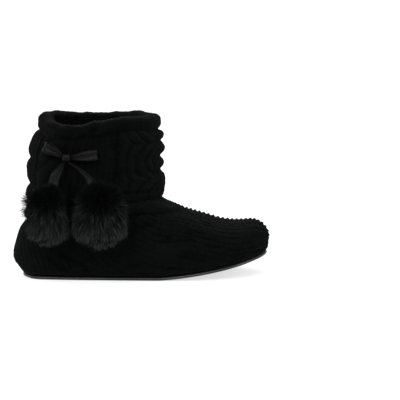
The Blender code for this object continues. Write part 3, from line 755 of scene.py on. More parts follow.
def fold_depth(points, table):
    """How deep the folds of a table cut at points, from their place in the side view."""
    scale = np.array([SOLE_LENGTH, RIM_HEIGHT])
    seen = np.stack([points[..., 0] - X_HEEL, points[..., 2]], -1)
    total = np.zeros(points.shape[:-1])
    for x0, z0, x1, z1, width, depth, side in table:
        start, end = np.array([x0, z0]) * scale, np.array([x1, z1]) * scale
        line = end - start
        t = np.clip((seen - start) @ line / (line @ line), 0, 1)
        far = np.linalg.norm(seen - start - t[..., None] * line, axis=-1)
        fade = 0.35 + 0.65 * np.sin(math.pi * np.clip(t, 0.02, 0.98))
        strength = np.exp(-(far / width) ** 2) * fade
        if side:
            strength = strength * step_up(points[..., 1] * side, 0.002, 0.012)
        total += strength * depth
    return total


def along_sole(points, start, end):
    """0 to 1 between two shares of the sole's length, from the heel."""
    return step_up(points[..., 0], X_HEEL + start * SOLE_LENGTH, X_HEEL + end * SOLE_LENGTH)


def foot_relief(points, across, along, to_edge, turn, sizes):
    """Height of the foot's knit over its base, from wale and row positions in metres."""
    drift = Noise(11)
    wander = (0.0019 * drift.at(along / 0.026 + 5, across / 0.030)
              + 0.0008 * drift.at(along / 0.011, across / 0.02))
    wales = (across + wander) / sizes.wale
    rows = along / sizes.course
    # The ribs fade down the foot's sides and over its toe, and the instep is knobby instead
    on_foot = step_up(FOOT_TOP - points[..., 2], -0.004, 0.012)
    smooth_top = (1 - step_up(np.abs(across), *INSTEP_FADE)) * on_foot
    smooth_side = np.maximum(step_up(np.abs(across), *SIDE_FADE) * on_foot,
                             0.75 * along_sole(points, 0.80, 0.92))
    broken = np.clip(0.50 + 1.00 * Noise(12).at(along / 0.014, np.floor(wales) * 1.7), 0.0, 1.20)
    valley = 1 - np.abs(np.sin(math.pi * wales)) ** 0.7
    twist = np.sin(2 * math.pi * (rows + 0.5 * np.sin(math.pi * np.round(wales) * 0.7)))
    knobs = np.cos(2 * math.pi * (rows + 0.25 * drift.at(across / 0.008, along / 0.02)))
    height = -sizes.rib_depth * valley * broken * (1 - 0.60 * smooth_side) * (1 - 0.55 * smooth_top)
    height += sizes.stitch_depth * (stitches(wales + 0.5, rows) - 0.5) * (1 - 0.35 * smooth_side)
    height += TWIST_HEIGHT * twist * (1 - valley) * (1 - smooth_side)
    height += KNOB_HEIGHT * smooth_top * knobs
    # The roll of slack knit under the hem, with the fold below it
    middle = ROLL_AT_HEEL + ROLL_RISE * along_sole(points, 0.02, 0.50)
    off = (points[..., 2] - middle) / sizes.roll_reach
    off_front = step_up(np.minimum(turn % 1.0, 1 - turn % 1.0), 0.02, 0.11)
    roll = np.sqrt(np.clip(1 - off ** 2, 0, 1)) * (0.25 + 0.75 * off_front)
    puff = 0.85 + 0.25 * Noise(15).at(across / 0.03, along / 0.05)
    height = height * (1 - 0.55 * roll) + sizes.roll_height * roll * puff
    height -= ROLL_FOLD * np.exp(-((off + 1.15) / 0.20) ** 2) * off_front
    # Gathers that run to the tip of the toe
    gathers = 0.5 + 0.5 * np.cos(2 * math.pi * across / GATHERS_APART)
    height -= GATHER_DEPTH * along_sole(points, 0.90, 1.0) * gathers
    # Puckers along the sole seam
    over_sole = above_sole(points)
    puckers = np.clip(Noise(13).at(points[..., 0] / 0.012, over_sole / 0.0028), 0, 1)
    height -= PUCKER_DEPTH * (1 - step_up(over_sole, 0.004, 0.018)) * puckers
    height += FOOT_LUMPS * Noise(14).at(along / 0.03, across / 0.03) - fold_depth(points, FOLDS)
    return height * step_up(to_edge, 0.0, 0.0045) - SEAM_SINK * (1 - step_up(to_edge, 0.0, 0.0030))


def shade_from_relief(height, level, span):
    """Painted shade and highlight for the knit's colour: 0 in its valleys up to 0.6 on its crowns,
    from their heights.
    """
    return np.clip(level + height / span, 0, 0.6)


def wale_grid(stations, spacing):
    """The foot's grid: how far its columns lie across, and each point's turn and way to the sole.

    Towards the toe the wales draw together, so that they all meet at its tip.
    """
    sides = {}
    for outer_side in (True, False):
        edges = edge_turns(upper_points, stations, outer_side)
        turns = np.linspace(0, 1, 200)[None, :] * (edges if outer_side else edges - 1.0)[:, None]
        sides[outer_side] = turns, run_length(upper_points(stations[:, None], turns), axis=1)
    reach = int(max(arcs[:, -1].max() for _, arcs in sides.values()) / spacing) + 1
    across = np.arange(-reach, reach + 1) * spacing
    last_even = int(np.argmin(np.abs(stations - WALES_MEET_FROM)))
    turn = np.zeros((len(stations), len(across)))
    to_edge = np.zeros_like(turn)
    for outer_side, (turns, arcs) in sides.items():
        part = across >= 0 if outer_side else across < 0
        for i in range(len(stations)):
            shrink = min(1.0, arcs[i, -1] / arcs[last_even, -1]) if i < last_even else 1.0
            place = np.abs(across[part]) * shrink
            turn[i, part] = np.interp(place, arcs[i], turns[i])
            to_edge[i, part] = np.maximum(arcs[i, -1] - place, 0.0)
    return across, turn, to_edge


def make_foot_knit(sizes, colours):
    """The foot and shaft in chunky ribbed knit, whose wales run from the toe and up the shaft."""
    stations, travelled = (values[1:] for values in even_stations(sizes.foot_grid))
    across, turn, to_edge = wale_grid(stations, sizes.foot_grid)
    base = upper_points(stations[:, None], turn)
    centre = (upper_points(stations, 0.0) + upper_points(stations, 0.5))[:, None] / 2
    normals = away_from(centre, base, upper_normals(stations[:, None], turn, 0.03, 0.006))
    along = np.broadcast_to(travelled[:, None], turn.shape)
    wide = np.broadcast_to(across[None, :], turn.shape)
    height = foot_relief(base, wide, along, to_edge, turn, sizes)
    # Painted shade in the valleys and painted highlight on the crowns, from the relief's height
    relief_shade = shade_from_relief(height, 0.31, 0.0065)
    # Inside the cuff the knit lies flat against it
    covered = base[..., 2] > EDGE_LEVEL + HEM_HEIGHT + 0.004
    height = np.where(covered, np.minimum(height, 0.0), height)
    points = base + normals * height[..., None]
    # All wales end in one point at the tip of the toe
    tip = upper_points(np.zeros(1), np.zeros(1)) + np.array([0.0004, 0, 0])
    points = np.concatenate([np.broadcast_to(tip, points[:1].shape), points])
    relief_shade = np.concatenate([relief_shade[:1], relief_shade])
    uvs = np.stack([np.concatenate([wide[:1], wide]), np.concatenate([along[:1] * 0, along])], -1)
    faces = np.array(grid_faces(*points.shape[:2]))
    corners = points.reshape(-1, 3)[faces]
    cross = np.cross(corners[:, 2] - corners[:, 0], corners[:, 3] - corners[:, 1])
    faces = faces[np.linalg.norm(cross, axis=1) > 1e-9].tolist()
    mat = yarn_material("ribbed_acrylic_knit", colours.knit, colours.knit_painted_highlight)
    return mesh_piece("foot_knit", points, faces, uvs, mat, relief_shade=relief_shade)


def make_lining(colours):
    """The napped lining inside the foot and shaft, turned out under the knit's lower edge."""
    stations, travelled = even_stations(LINING_GRID)
    keep = (stations > 1.6) & (stations < LAST_SECTION - 0.1)
    stations, travelled = stations[keep], travelled[keep]
    columns = 90
    rows = []
    for s in stations:
        # The turn of the lower edges, at the outer and at the inner side of the foot
        at = np.array([s])
        knit_edge, own_edge = ((edge_turns(face, at, True)[0], edge_turns(face, at, False)[0] - 1.0)
                               for face in (upper_points, inner_points))
        inside = inner_points(np.full(columns, s), np.linspace(own_edge[1], own_edge[0], columns))
        ends = inside[[0, -1]]
        if own_edge[0] < 0.4999:
            knit_ends = np.array([upper_points(s, knit_edge[1]), upper_points(s, knit_edge[0])])
            ends = ends + (knit_ends - ends) * 0.85
        rows.append(np.concatenate([ends[:1], inside, ends[1:]]))
    points = np.array(rows)
    centre = (points[:, :1] + points[:, columns // 2:columns // 2 + 1]) / 2
    inward = -away_from(centre, points, grid_normals(points))
    u = np.arange(points.shape[1])[None, :] * LINING_GRID
    v = travelled[:, None]
    pile = 0.0003 + 0.0005 * Noise(21).at(u / 0.006 + 3, v / 0.006)
    points[:, 1:-1] += inward[:, 1:-1] * pile[:, 1:-1, None]
    mat = fleece_material("napped_fleece_lining", colours.lining)
    return mesh_piece("foot_lining", points, grid_faces(*points.shape[:2]),
                      np.stack(np.broadcast_arrays(u, v), -1), mat)


def cable_height(across, along, half, length, lean, phase):
    """Height of a rope's or plait's strands, 0 to 1, across it and along its crossings."""
    u = np.clip(across / half, -1, 1)
    v = along / length - phase
    bow = np.sin(math.pi * u / 2)
    if lean:
        # Two strands twist round each other: long curved crossings from edge to edge
        lobe = np.abs(np.sin(math.pi * (v - 0.5 * lean * bow))) ** 0.55
    else:
        # A plait: crossings lean both ways from its middle
        lobe = np.abs(np.sin(math.pi * (v + 0.42 * np.abs(bow) + 0.3 * (u > 0)))) ** 0.55
    return (1 - u ** 2) ** 0.5 * (0.15 + 0.85 * lobe)


def bobble_height(across, height, half, notches):
    """Height of a column of bobbles, 0 to 1, between notches at shares of the cuff's height."""
    u = np.clip(across / half, -1, 1)
    bowed = height + 0.020 * u ** 2
    marks = np.array(notches)
    k = np.clip(np.searchsorted(marks, bowed, side="right") - 1, 0, len(marks) - 2)
    t = np.clip((bowed - marks[k]) / (marks[k + 1] - marks[k]), 0, 1)
    return (1 - u ** 2) ** 0.35 * (0.10 + 0.90 * np.clip(1 - (2 * t - 1) ** 2, 0, 1) ** 0.5)


def fan_height(across, up, half, spacing, middles):
    """Height of nested arcs, 0 to 1, round middles at heights in metres."""
    toward = np.maximum(across / half + 1.15, 0.0) * half * 0.75
    far = np.min([np.hypot(toward, up - middle) for middle in middles], axis=0)
    far = far + 0.0016 * Noise(36).at(up / 0.014, across / 0.012)
    lobe = np.abs(np.sin(math.pi * (far / spacing + 0.25))) ** 0.6
    u = np.clip(across / half, -1, 1)
    return (1 - np.abs(u) ** 3) ** 0.5 * (0.15 + 0.85 * lobe)


def column_height(kind, settings, across, height, length_up, half, mirrored):
    """Height of one column of cable, 0 to 1, from its row of CABLES."""
    up = height * length_up
    if kind == "rope":
        length, lean, phase = settings
        return cable_height(across, up, half, length, lean, phase * length_up / length)
    if kind == "fan":
        spacing, middles = settings
        return fan_height(-across if mirrored else across, up, half, spacing,
                          [middle * length_up for middle in middles])
    # Bobbles are fuller than strands, so they are let into the cuff a little
    return bobble_height(across, height, half, settings) - 0.35


def groove(height, middle, width):
    """Depth of a groove round the cuff, 0 to 1."""
    return np.exp(-((height - middle) / width) ** 2)


def cuff_relief(around, height, length_up, girth, sizes):
    """Height of the cuff's knit over its smooth profile, from the place round it and up it."""
    drift = Noise(31)
    share = around / girth
    up = height * length_up
    ribs = (around + 0.0010 * drift.at(up / 0.03, around / 0.04)) / sizes.wale
    rows = up / sizes.course
    valleys = 1 - np.abs(np.sin(math.pi * ribs)) ** 0.8
    patch = np.clip(0.55 + 0.75 * drift.at(up / 0.016 + 7, ribs.round() * 2.3), 0.05, 1.2)
    plain = sizes.stitch_depth * (stitches(ribs + 0.5, rows) - 0.5) - RIB_VALLEY * valleys * patch
    ladder = 1.0 - 0.35 * np.abs(np.sin(math.pi * rows))
    share_from_front = np.abs((share + 0.5) % 1.0 - 0.5)
    cover, gutter = np.zeros(share.shape), np.zeros(share.shape)
    cables = np.full(share.shape, -1.0)
    for place, half, depth, beside, kind, settings in CABLES:
        off = ((share - place + 0.5) % 1.0 - 0.5) * girth
        across = off + 0.0014 * drift.at(up / 0.02 + place * 20, around / 0.05)
        inside = 1 - step_up(np.abs(across), half * 0.93, half * 1.03)
        tall = column_height(kind, settings, across, height, length_up, half, place >= 0.5)
        strand = 0.8 * sizes.stitch_depth * (stitches(across / (half / 3), rows) - 0.5)
        cables = np.where(inside > 0, np.maximum(cables, depth * (tall - 0.50) + strand), cables)
        cover = np.maximum(cover, inside)
        # The front column has no ladder beside it, and none runs into its edges
        away = np.abs(across) - half * 1.10
        beside_it = beside * np.exp(-(away / (half * 0.12)) ** 2)
        gutter = np.maximum(gutter, beside_it * step_up(share_from_front * girth, 0.030, 0.045))
    relief = np.where(cover > 0, cables, 0.0) * cover + (1 - cover) * plain - gutter * ladder
    # The plain roll at the collar with its lumps, and the hem band with its two grooves
    collar = step_up(height, 0.855, 0.895)
    hem = 1 - step_up(height, 0.06, 0.13)
    relief = relief * (1 - collar) * (1 - 0.85 * hem) + plain * np.maximum(collar * 0.40, hem * 0.7)
    relief = relief + COLLAR_LUMPS * collar * Noise(35).at(up / 0.008, around / 0.0085)
    beside_front = np.exp(-((share_from_front - 0.15) / 0.07) ** 2)
    relief = relief - COLLAR_GROOVE * groove(height, 0.872, 0.020)
    relief = relief - (HEM_GROOVE + HEM_PINCH * beside_front) * groove(height, 0.106, 0.024)
    relief = relief - HEM_EDGE * groove(height, 0.040, 0.010)
    return relief + CUFF_LUMPS * Noise(33).at(up / 0.024, around / 0.030)


def cuff_thickness(turn, front, heel, side):
    """The cuff's thickness at places round, from its profile's shares."""
    toward_end = np.cos(2 * math.pi * np.asarray(turn))
    end = np.where(toward_end > 0, front, heel)
    return CUFF_THICKNESS * (side + (end - side) * toward_end ** 2)


def cuff_base(turns, rows_wanted):
    """The cuff's smooth form: rows from the hem up the outside, over the roll and down the lip.

    Gives the points, the height mark of each row (over 1 past the rim) and the distance to it.
    """
    rows = [(0.0, on_cuff(turns, 0.0, CUFF_GAP + 0.0004))]
    rows += [(height, on_cuff(turns, height, cuff_thickness(turns, *shares)))
             for height, *shares in CUFF_PROFILE]
    rows += [(1.0 + 0.02 * k, on_cuff(turns, 1.0, CUFF_THICKNESS * out, CUFF_CROWN * crown))
             for k, (out, crown) in enumerate(CUFF_ROLL, start=1)]
    rows += [(1.2 + 0.1 * share, on_cuff(turns, 1.0 + (LIP_LOW - 1.0) * share, LIP_FACE - CUFF_LIP))
             for share in (0.5, 1.0)]
    heights = [height for height, _ in rows]
    ring = np.array([points for _, points in rows])
    steps = np.linalg.norm(np.diff(ring, axis=0), axis=2).mean(axis=1)
    travelled = np.concatenate([[0.0], np.cumsum(steps)])
    marks = np.linspace(0, travelled[-1], rows_wanted)
    # A smooth curve through the rows
    i = np.clip(np.searchsorted(travelled, marks, side="right") - 1, 0, len(ring) - 2)
    before, after = np.maximum(i - 1, 0), np.minimum(i + 2, len(ring) - 1)
    span, wide_out, wide_in = ((travelled[high] - travelled[low])[:, None, None]
                               for low, high in ((i, i + 1), (before, i + 1), (i, after)))
    t = (marks - travelled[i])[:, None, None] / span
    points = smooth_curve(t, ring[i], ring[i + 1], (ring[i + 1] - ring[before]) / wide_out * span,
                          (ring[after] - ring[i]) / wide_in * span)
    return points, np.interp(marks, travelled, heights), marks


def make_cuff_knit(sizes, colours):
    """The turned-down cuff in cable knit, with a plain roll at the collar and a ribbed lip."""
    fine = np.linspace(0, 1, 2001)
    travelled = run_length(on_cuff(fine, 0.5, CUFF_THICKNESS))
    girth = travelled[-1]
    columns = int(girth / sizes.cuff_grid)
    around = np.arange(columns) * girth / columns
    turns = np.interp(around, travelled, fine)
    base, heights, marks = cuff_base(turns, int(CUFF_WAY_OVER / sizes.cuff_grid))
    length_up = float(np.interp(1.0, heights, marks))
    round_it = np.roll(base, -1, axis=1) - np.roll(base, 1, axis=1)
    normals = unit(np.cross(np.gradient(base, axis=0), round_it))
    a_row = len(marks) // 3
    if np.sum(normals[a_row] * (base[a_row] - base[a_row].mean(axis=0))) < 0:
        normals = -normals
    height = np.broadcast_to(heights[:, None], base.shape[:2])
    relief = cuff_relief(around[None, :], height, length_up, girth, sizes)
    # Painted shade in the valleys and painted highlight on the crowns, from the relief's height
    relief_shade = shade_from_relief(relief, 0.29, 0.0070)
    # The ribbed lip inside
    inside = step_up(heights, 1.06, 1.12)[:, None]
    ribs = LIP_RIB_DEPTH * (np.abs(np.sin(math.pi * around / LIP_RIBS_APART)) - 1)[None, :]
    lip = ribs + 0.0003 * Noise(34).at(marks[:, None] / 0.004, around / 0.004)
    relief = relief * (1 - inside) + lip * inside
    ends = np.minimum(step_up(marks, 0.0, 0.004), step_up(marks[-1] - marks, 0.0, 0.004))[:, None]
    points = base + normals * (relief * ends)[..., None]
    # The hidden face that lies on the shaft closes the form
    back = [on_cuff(turns, LIP_LOW, LIP_FACE), on_cuff(turns, 1.0, LIP_FACE, CUFF_GAP),
            on_cuff(turns, 1.0, CUFF_GAP, CUFF_GAP)]
    back += [on_cuff(turns, at, CUFF_GAP) for at in CUFF_LINING]
    points = np.concatenate([points, np.array(back)])
    relief_shade = np.concatenate([relief_shade, np.zeros((len(back), columns))])
    marks = np.concatenate([marks, marks[-1] + 0.01 * np.arange(1, len(back) + 1)])
    uvs = np.stack(np.broadcast_arrays(around[None, :], marks[:, None]), -1)
    # The cuff takes a darker highlight colour than the foot: painted shade, since the foot's knit
    # catches more light from the floor than the cuff
    mat = yarn_material("cabled_acrylic_knit", colours.knit, shade(colours.knit_painted_highlight, 0.72))
    faces = grid_faces(*points.shape[:2], around=True, along=True)
    return mesh_piece("cuff_knit", points, faces, uvs, mat, relief_shade=relief_shade)


def sole_ends(face):
    """The first and last place along the upper where a face's bottom is under the sole line."""
    return [halved(np.array(inside), np.array(outside),
                   lambda s: above_sole(face(s, np.array(0.5))) < 0)[0]
            for inside, outside in (TOE_SEARCH, HEEL_SEARCH)]


def even_loop(loop, count):
    """A closed loop of level points, resampled at even distances."""
    closed = np.vstack([loop, loop[:1]])
    travelled = run_length(closed)
    at = np.linspace(0, travelled[-1], count, endpoint=False)
    return np.column_stack([np.interp(at, travelled, closed[:, k]) for k in range(2)])


def inset(loop, distance):
    """A closed loop moved inwards by a distance, or outwards by a negative one."""
    along = np.roll(loop, -2, axis=0) - np.roll(loop, 2, axis=0)
    normals = np.column_stack([-along[:, 1], along[:, 0]]) / np.hypot(*along.T)[:, None]
    area = np.sum(loop[:, 0] * np.roll(loop[:, 1], -1) - np.roll(loop[:, 0], -1) * loop[:, 1])
    return loop + normals * distance * (1 if area > 0 else -1)


def sole_outline(offset, face, count):
    """The closed outline where a face of the upper meets the sole, moved in by offset."""
    start, end = sole_ends(face)
    fine = 160
    angle = math.pi * (np.arange(fine + 1) + 0.02) / (fine + 0.04)
    places = start + (end - start) * (1 - np.cos(angle)) / 2
    sides = [face(places, edge_turns(face, places, outer_side))[:, :2]
             for outer_side in (True, False)]
    loop = np.concatenate([sides[0], sides[1][::-1]])
    return even_loop(inset(even_loop(loop, OUTLINE_POINTS), offset), count)


def plate(name, levels, mat):
    """A flat piece that follows the toe spring: levels hold an outline and its height above it."""
    count = len(levels[0][0])
    points = np.array([[(x, y, height + lift(x)) for x, y in loop] for loop, height in levels])
    faces = grid_faces(len(levels), count, around=True)
    half = count // 2
    for base, flip in ((0, True), ((len(levels) - 1) * count, False)):
        for k in range(1, half):
            corners = tuple(dict.fromkeys((base + k, base + k - 1, base + (count - k + 1) % count,
                                           base + count - k)))
            faces.append(corners[::-1] if flip else corners)
        tail = (base + half + 1, base + half, base + half - 1)
        faces.append(tail if flip else tail[::-1])
    return mesh_piece(name, points, faces, points[..., :2], mat)


def scatter(name, source, places, mat):
    """Copies of one shape at given matrices, as one mesh object; the shape itself is removed."""
    mesh = source.data
    corners = np.array([vert.co for vert in mesh.vertices])
    faces = [tuple(polygon.vertices) for polygon in mesh.polygons]
    points, all_faces = [], []
    for k, place in enumerate(places):
        matrix = np.array(place)
        points.append(corners @ matrix[:3, :3].T + matrix[:3, 3])
        all_faces += [tuple(k * len(corners) + v for v in face) for face in faces]
    bpy.data.objects.remove(source, do_unlink=True)
    points = np.concatenate(points)
    return mesh_piece(name, points, all_faces, points[:, :2], mat, merge=False)


def make_outsole(tread_mat, border_mat):
    """The outsole: a cloth panel inside a glossy border, with a step at its edge."""
    rings = [(BORDER_INSIDE + 0.0008, DOT_HEIGHT), (BORDER_INSIDE, BORDER_LEVEL),
             (SOLE_EDGE + SOLE_BEVEL, BORDER_LEVEL), (SOLE_EDGE, SOLE_BEVEL),
             (SOLE_EDGE, SOLE_THICKNESS)]
    outsole = plate("outsole_cloth", [(sole_outline(inward, upper_points, SOLE_POINTS), height)
                                      for inward, height in rings], tread_mat)
    outsole.data.materials.append(border_mat)
    for polygon in outsole.data.polygons:
        height = polygon.center.z - float(lift(polygon.center.x))
        is_panel = polygon.normal.z < -0.9 and abs(height - DOT_HEIGHT) < DOT_HEIGHT / 4
        polygon.material_index = 0 if is_panel else 1
    return outsole


def make_dots(mat):
    """The tread's dots: one pressed from a low sphere, set out in offset rows inside the border."""
    dot = start_shape(bpy.ops.mesh.primitive_uv_sphere_add, segments=8, ring_count=4,
                      radius=DOT_RADIUS)
    edit_shape((bpy.ops.transform.resize, {"value": (1.0, 1.0, DOT_FLATNESS)}))
    inner = sole_outline(BORDER_INSIDE + 0.004, upper_points, SOLE_POINTS)
    places = []
    for row, x in enumerate(np.arange(inner[:, 0].min(), inner[:, 0].max(), DOTS_APART)):
        crossing = [y0 + (y1 - y0) * (x - x0) / (x1 - x0)
                    for (x0, y0), (x1, y1) in zip(inner, np.roll(inner, -1, axis=0))
                    if (x0 - x) * (x1 - x) < 0]
        if len(crossing) < 2:
            continue
        for y in np.arange(-DOTS_REACH + DOTS_APART / 2 * (row % 2), DOTS_REACH, DOTS_APART):
            if min(crossing) < y < max(crossing):
                places.append(Matrix.Translation((x, y, float(lift(x)) + DOT_HEIGHT)))
    return scatter("tread_dots", dot, places, mat)


def make_piping(mat):
    """The piping round the sole, with the shallow pulls of its sewn cover."""
    loop = sole_outline(BINDING_DIAMETER * 0.25, upper_points, PIPING_POINTS)
    ahead = np.roll(loop, -1, axis=0) - np.roll(loop, 1, axis=0)
    side = unit(np.stack([ahead[:, 1], -ahead[:, 0], np.zeros(len(loop))], -1))
    angle = 2 * math.pi * (np.arange(PIPING_SIDES) + 0.5) / PIPING_SIDES
    run = run_length(loop)
    pulled = 1 - 0.045 * (0.5 + 0.5 * np.cos(2 * math.pi * run / PULLS_APART))
    radius = BINDING_DIAMETER / 2 * pulled[:, None]
    height = BINDING_DIAMETER / 2 + GAP + lift(loop[:, 0])
    points = (np.column_stack([loop, height])[:, None]
              + side[:, None] * (np.cos(angle) * radius)[..., None]
              + UP * (np.sin(angle) * radius)[..., None])
    uvs = np.stack(np.broadcast_arrays(angle[None, :] * 0.001, run[:, None]), -1)
    faces = grid_faces(len(loop), PIPING_SIDES, around=True, along=True)
    return mesh_piece("sole_piping", points, faces, uvs, mat)


def make_sole_stitches(mat):
    """The stitches in the sole's border: one modelled, then set out along the seam."""
    stitch = start_shape(bpy.ops.mesh.primitive_cylinder_add, vertices=6, radius=STITCH_RADIUS,
                         depth=STITCH_LENGTH)
    edit_shape((bpy.ops.mesh.bevel, {"offset": 0.0001, "segments": 1}))
    seam = sole_outline(SOLE_EDGE + BORDER_WIDTH * 0.62, upper_points, OUTLINE_POINTS)
    seam = even_loop(seam, STITCHES_AROUND)
    places = []
    for (x, y), (dx, dy) in zip(seam, np.roll(seam, -1, axis=0) - seam):
        way = Vector((dx, dy, float(lift(x + dx) - lift(x)))).to_track_quat("Z", "Y")
        spot = (x, y, float(lift(x)) + STITCH_SINK)
        places.append(Matrix.Translation(spot) @ way.to_matrix().to_4x4())
    return scatter("sole_stitches", stitch, places, mat)


def make_footbed(colours):
    """The padded footbed: soft edges, a shallow heel cup and a nap."""
    bottom = SOLE_THICKNESS + GAP
    top = bottom + INSOLE_THICKNESS
    outline = sole_outline(INSOLE_EASE, inner_points, FOOTBED_POINTS)
    middle = np.column_stack([outline[:, 0] * 0.86 - 0.002, outline[:, 1] * 0.0])
    levels = [(outline, bottom), (outline, bottom + INSOLE_THICKNESS * 0.3),
              (outline, top - 0.0012), (inset(outline, 0.0007), top - 0.0004)]
    levels += [(outline + (middle - outline) * share, top) for share in FOOTBED_RINGS]
    pad = plate("footbed_pad", levels, fleece_material("footbed_pile", colours.footbed, 0.0016))
    nap = Noise(41)
    for vert in pad.data.vertices:
        x, y, z = vert.co
        if z - float(lift(x)) > top - 0.0002:
            cup = math.exp(-(((x - X_HEEL - 0.038) / 0.026) ** 2 + (y / 0.020) ** 2))
            vert.co.z -= HEEL_CUP * cup + FOOTBED_NAP * float(nap.at(x / 0.004, y / 0.004))
    return pad


def bow_frame():
    """The bow's place on the cuff: the knot's centre, the way out of the shoe and the way on."""
    turn = np.array([KNOT_BACK])
    heights, *columns = zip(*CUFF_PROFILE)
    shares = [float(np.interp(KNOT_HEIGHT, heights, column)) for column in columns]
    face = on_cuff(turn, KNOT_HEIGHT, cuff_thickness(turn, *shares) + GAP * 2)[0]
    out = outward(turn, under_cuff(turn, KNOT_HEIGHT))[0]
    forward = np.cross(UP, out)
    return face + out * KNOT_SIZE * 0.42, out, forward * np.sign(forward[0])


def ribbon(name, path, widths, across, thickness, mat, crease, closed=False):
    """A satin ribbon along a path: both faces and the edges between, with selvages and creases."""
    count = len(path)
    if closed:
        along = unit(np.roll(path, -1, axis=0) - np.roll(path, 1, axis=0))
    else:
        along = unit(np.gradient(path, axis=0))
    normal = unit(np.cross(along, across))
    u = np.linspace(-1, 1, RIBBON_COLUMNS)
    run = run_length(path)
    lift_off = crease(np.arange(count)[:, None] / (count - 1), u[None, :])
    selvage = 1 + 0.5 * np.exp(-((np.abs(u) - 0.93) / 0.05) ** 2)
    half = (thickness / 2 * selvage)[None, :]
    middle = path[:, None] + across[:, None] * (u[None, :] * widths[:, None] / 2)[..., None]
    front = middle + normal[:, None] * (lift_off + half)[..., None]
    back = middle + normal[:, None] * (lift_off - half)[..., None]
    points = np.concatenate([front, back[:, ::-1]], axis=1)
    wide = u * RIBBON_WIDTH / 2
    wide = np.concatenate([wide, wide[::-1]])
    uvs = np.stack(np.broadcast_arrays(wide[None, :], run[:, None]), -1)
    size = points.shape[1]
    faces = grid_faces(count, size, around=True, along=closed)
    for base in () if closed else (0, (count - 1) * size):
        faces += [(base + k, base + k + 1, base + size - 2 - k, base + size - 1 - k)
                  for k in range(RIBBON_COLUMNS - 1)]
    return mesh_piece(name, points, faces, uvs, mat)


def make_loop(name, way, tilt, share, thickness, satin):
    """An open loop of the bow: it leaves the knot, turns round at its end and comes back."""
    centre, out, forward = bow_frame()
    reach = unit(forward * way + UP * math.tan(math.radians(tilt)))
    start, length = KNOT_SIZE * 0.5 + GAP + 0.001, LOOP_LENGTH * share
    angle = 2 * math.pi * np.arange(LOOP_STEPS)[:, None] / LOOP_STEPS
    far = (1 - np.cos(angle)) / 2
    depth = np.sin(angle) * np.sin(angle / 2) ** 1.4 * LOOP_DEPTH / 2
    path = (centre + reach * (start + (length - start) * far)
            + out * (depth + far * far * length * 0.04 + 0.0009 * np.sin(angle)))
    widths = RIBBON_WIDTH * (0.45 + 0.55 * np.minimum(far[:, 0] * 1.6, 1.0))
    across = np.broadcast_to(unit(np.cross(reach, out)), path.shape)

    def gathers(t, u):
        """Gathers that fan out of the knot and die away towards the loop's end."""
        near = np.exp(-((1 - np.cos(2 * math.pi * t)) / 2 / 0.42) ** 2)
        return (0.00055 * near * np.cos(math.pi * 3.0 * u + way)
                + 0.00035 * np.sin(math.pi * 1.5 * u + 3 * t))

    return ribbon(name, path, widths, across, thickness, satin, gathers, closed=True)


def make_tail(name, way, thickness, satin):
    """A tail of the bow, from under the knot into the top of its pompom."""
    centre, out, forward = bow_frame()
    corner = TAIL_INSET - RIBBON_WIDTH / 2
    width = POMPOM_WIDTH * pompom_share(way)
    top = math.sqrt(1 - (2 * corner / width) ** 2) * POMPOM_HEIGHT / 2
    end = pompom_centre(way) + np.array([-way * TAIL_INSET, 0, top - 0.004])
    begin = (centre + forward * way * KNOT_SIZE * 0.30 - UP * (KNOT_SIZE * 0.475 + GAP)
             + out * KNOT_SIZE * 0.12)
    t = np.linspace(0, 1, TAIL_STEPS)[:, None]
    path = begin + (end - begin) * (1 - (1 - t) ** 2)
    path[:, 2:] = begin[2] + (end[2] - begin[2]) * t
    path = path + out * np.sin(math.pi * t) * RIBBON_WIDTH * 0.12
    widths = RIBBON_WIDTH * (0.55 + 0.45 * np.minimum(t[:, 0] * 2.5, 1.0))
    turned = np.radians(50 * (1 - t) * way)
    across = unit(forward * np.cos(turned) + out * np.sin(turned))

    def fold(t, u):
        """One soft fold down the tail, deepest at the knot."""
        return (0.0008 * (1 - t) * np.cos(math.pi * 2 * u + way)
                + 0.0005 * np.sin(math.pi * u + 5 * t))

    return ribbon(name, path, widths, across, thickness, satin, fold)


def make_knot(satin):
    """The knot: a sphere pressed to a soft block, with the wraps of the ribbon drawn into it."""
    centre, out, forward = bow_frame()
    knot = start_shape(bpy.ops.mesh.primitive_uv_sphere_add, segments=32, ring_count=20, radius=0.5)
    edit_shape((bpy.ops.transform.resize, {"value": KNOT_SHAPE}))
    for vert in knot.data.vertices:
        x, _, z = vert.co
        block = [math.copysign(abs(2 * c / k) ** 0.78, c) / 2 * k
                 for c, k in zip(vert.co, KNOT_SHAPE)]
        wraps = (1 - 0.035 * math.cos(2 * math.pi * 4 * z + 2.2 * x)
                 - 0.14 * math.cos(math.pi * min(abs(x) * 2, 1)))
        spot = forward * block[0] + (out * block[1] + UP * block[2]) * wraps
        vert.co = centre + spot * KNOT_SIZE * 1.04
    set_names(knot, "satin_knot", satin)
    return knot


def pompom_share(way):
    """Size of a pompom, next to the front one's."""
    return 1.0 if way > 0 else REAR_POMPOM


def pompom_centre(way):
    """The middle of a pompom: it hangs beside the shoe, under the bow."""
    reach = POMPOM_DEPTH / 2 + LOCK_LENGTH + CUFF_THICKNESS * 0.1
    half = POMPOM_WIDTH * pompom_share(way) / 2
    along = POMPOM_AHEAD + way * (half + LOCK_LENGTH * 0.78 + GAP)
    return bow_frame()[0] + np.array([along, -reach, -POMPOM_DROP])


def pompom_half(way):
    """Half the width, depth and height of a pompom's body."""
    share = pompom_share(way)
    return np.array([POMPOM_WIDTH / 2 * share, POMPOM_DEPTH / 2 * share, POMPOM_HEIGHT / 2])


def even_directions(count):
    """Directions spread evenly over a sphere."""
    i = np.arange(count) + 0.5
    polar = np.arccos(1 - 2 * i / count)
    turn = math.pi * (1 + 5 ** 0.5) * i
    return np.stack([np.cos(turn) * np.sin(polar), np.sin(turn) * np.sin(polar), np.cos(polar)], -1)


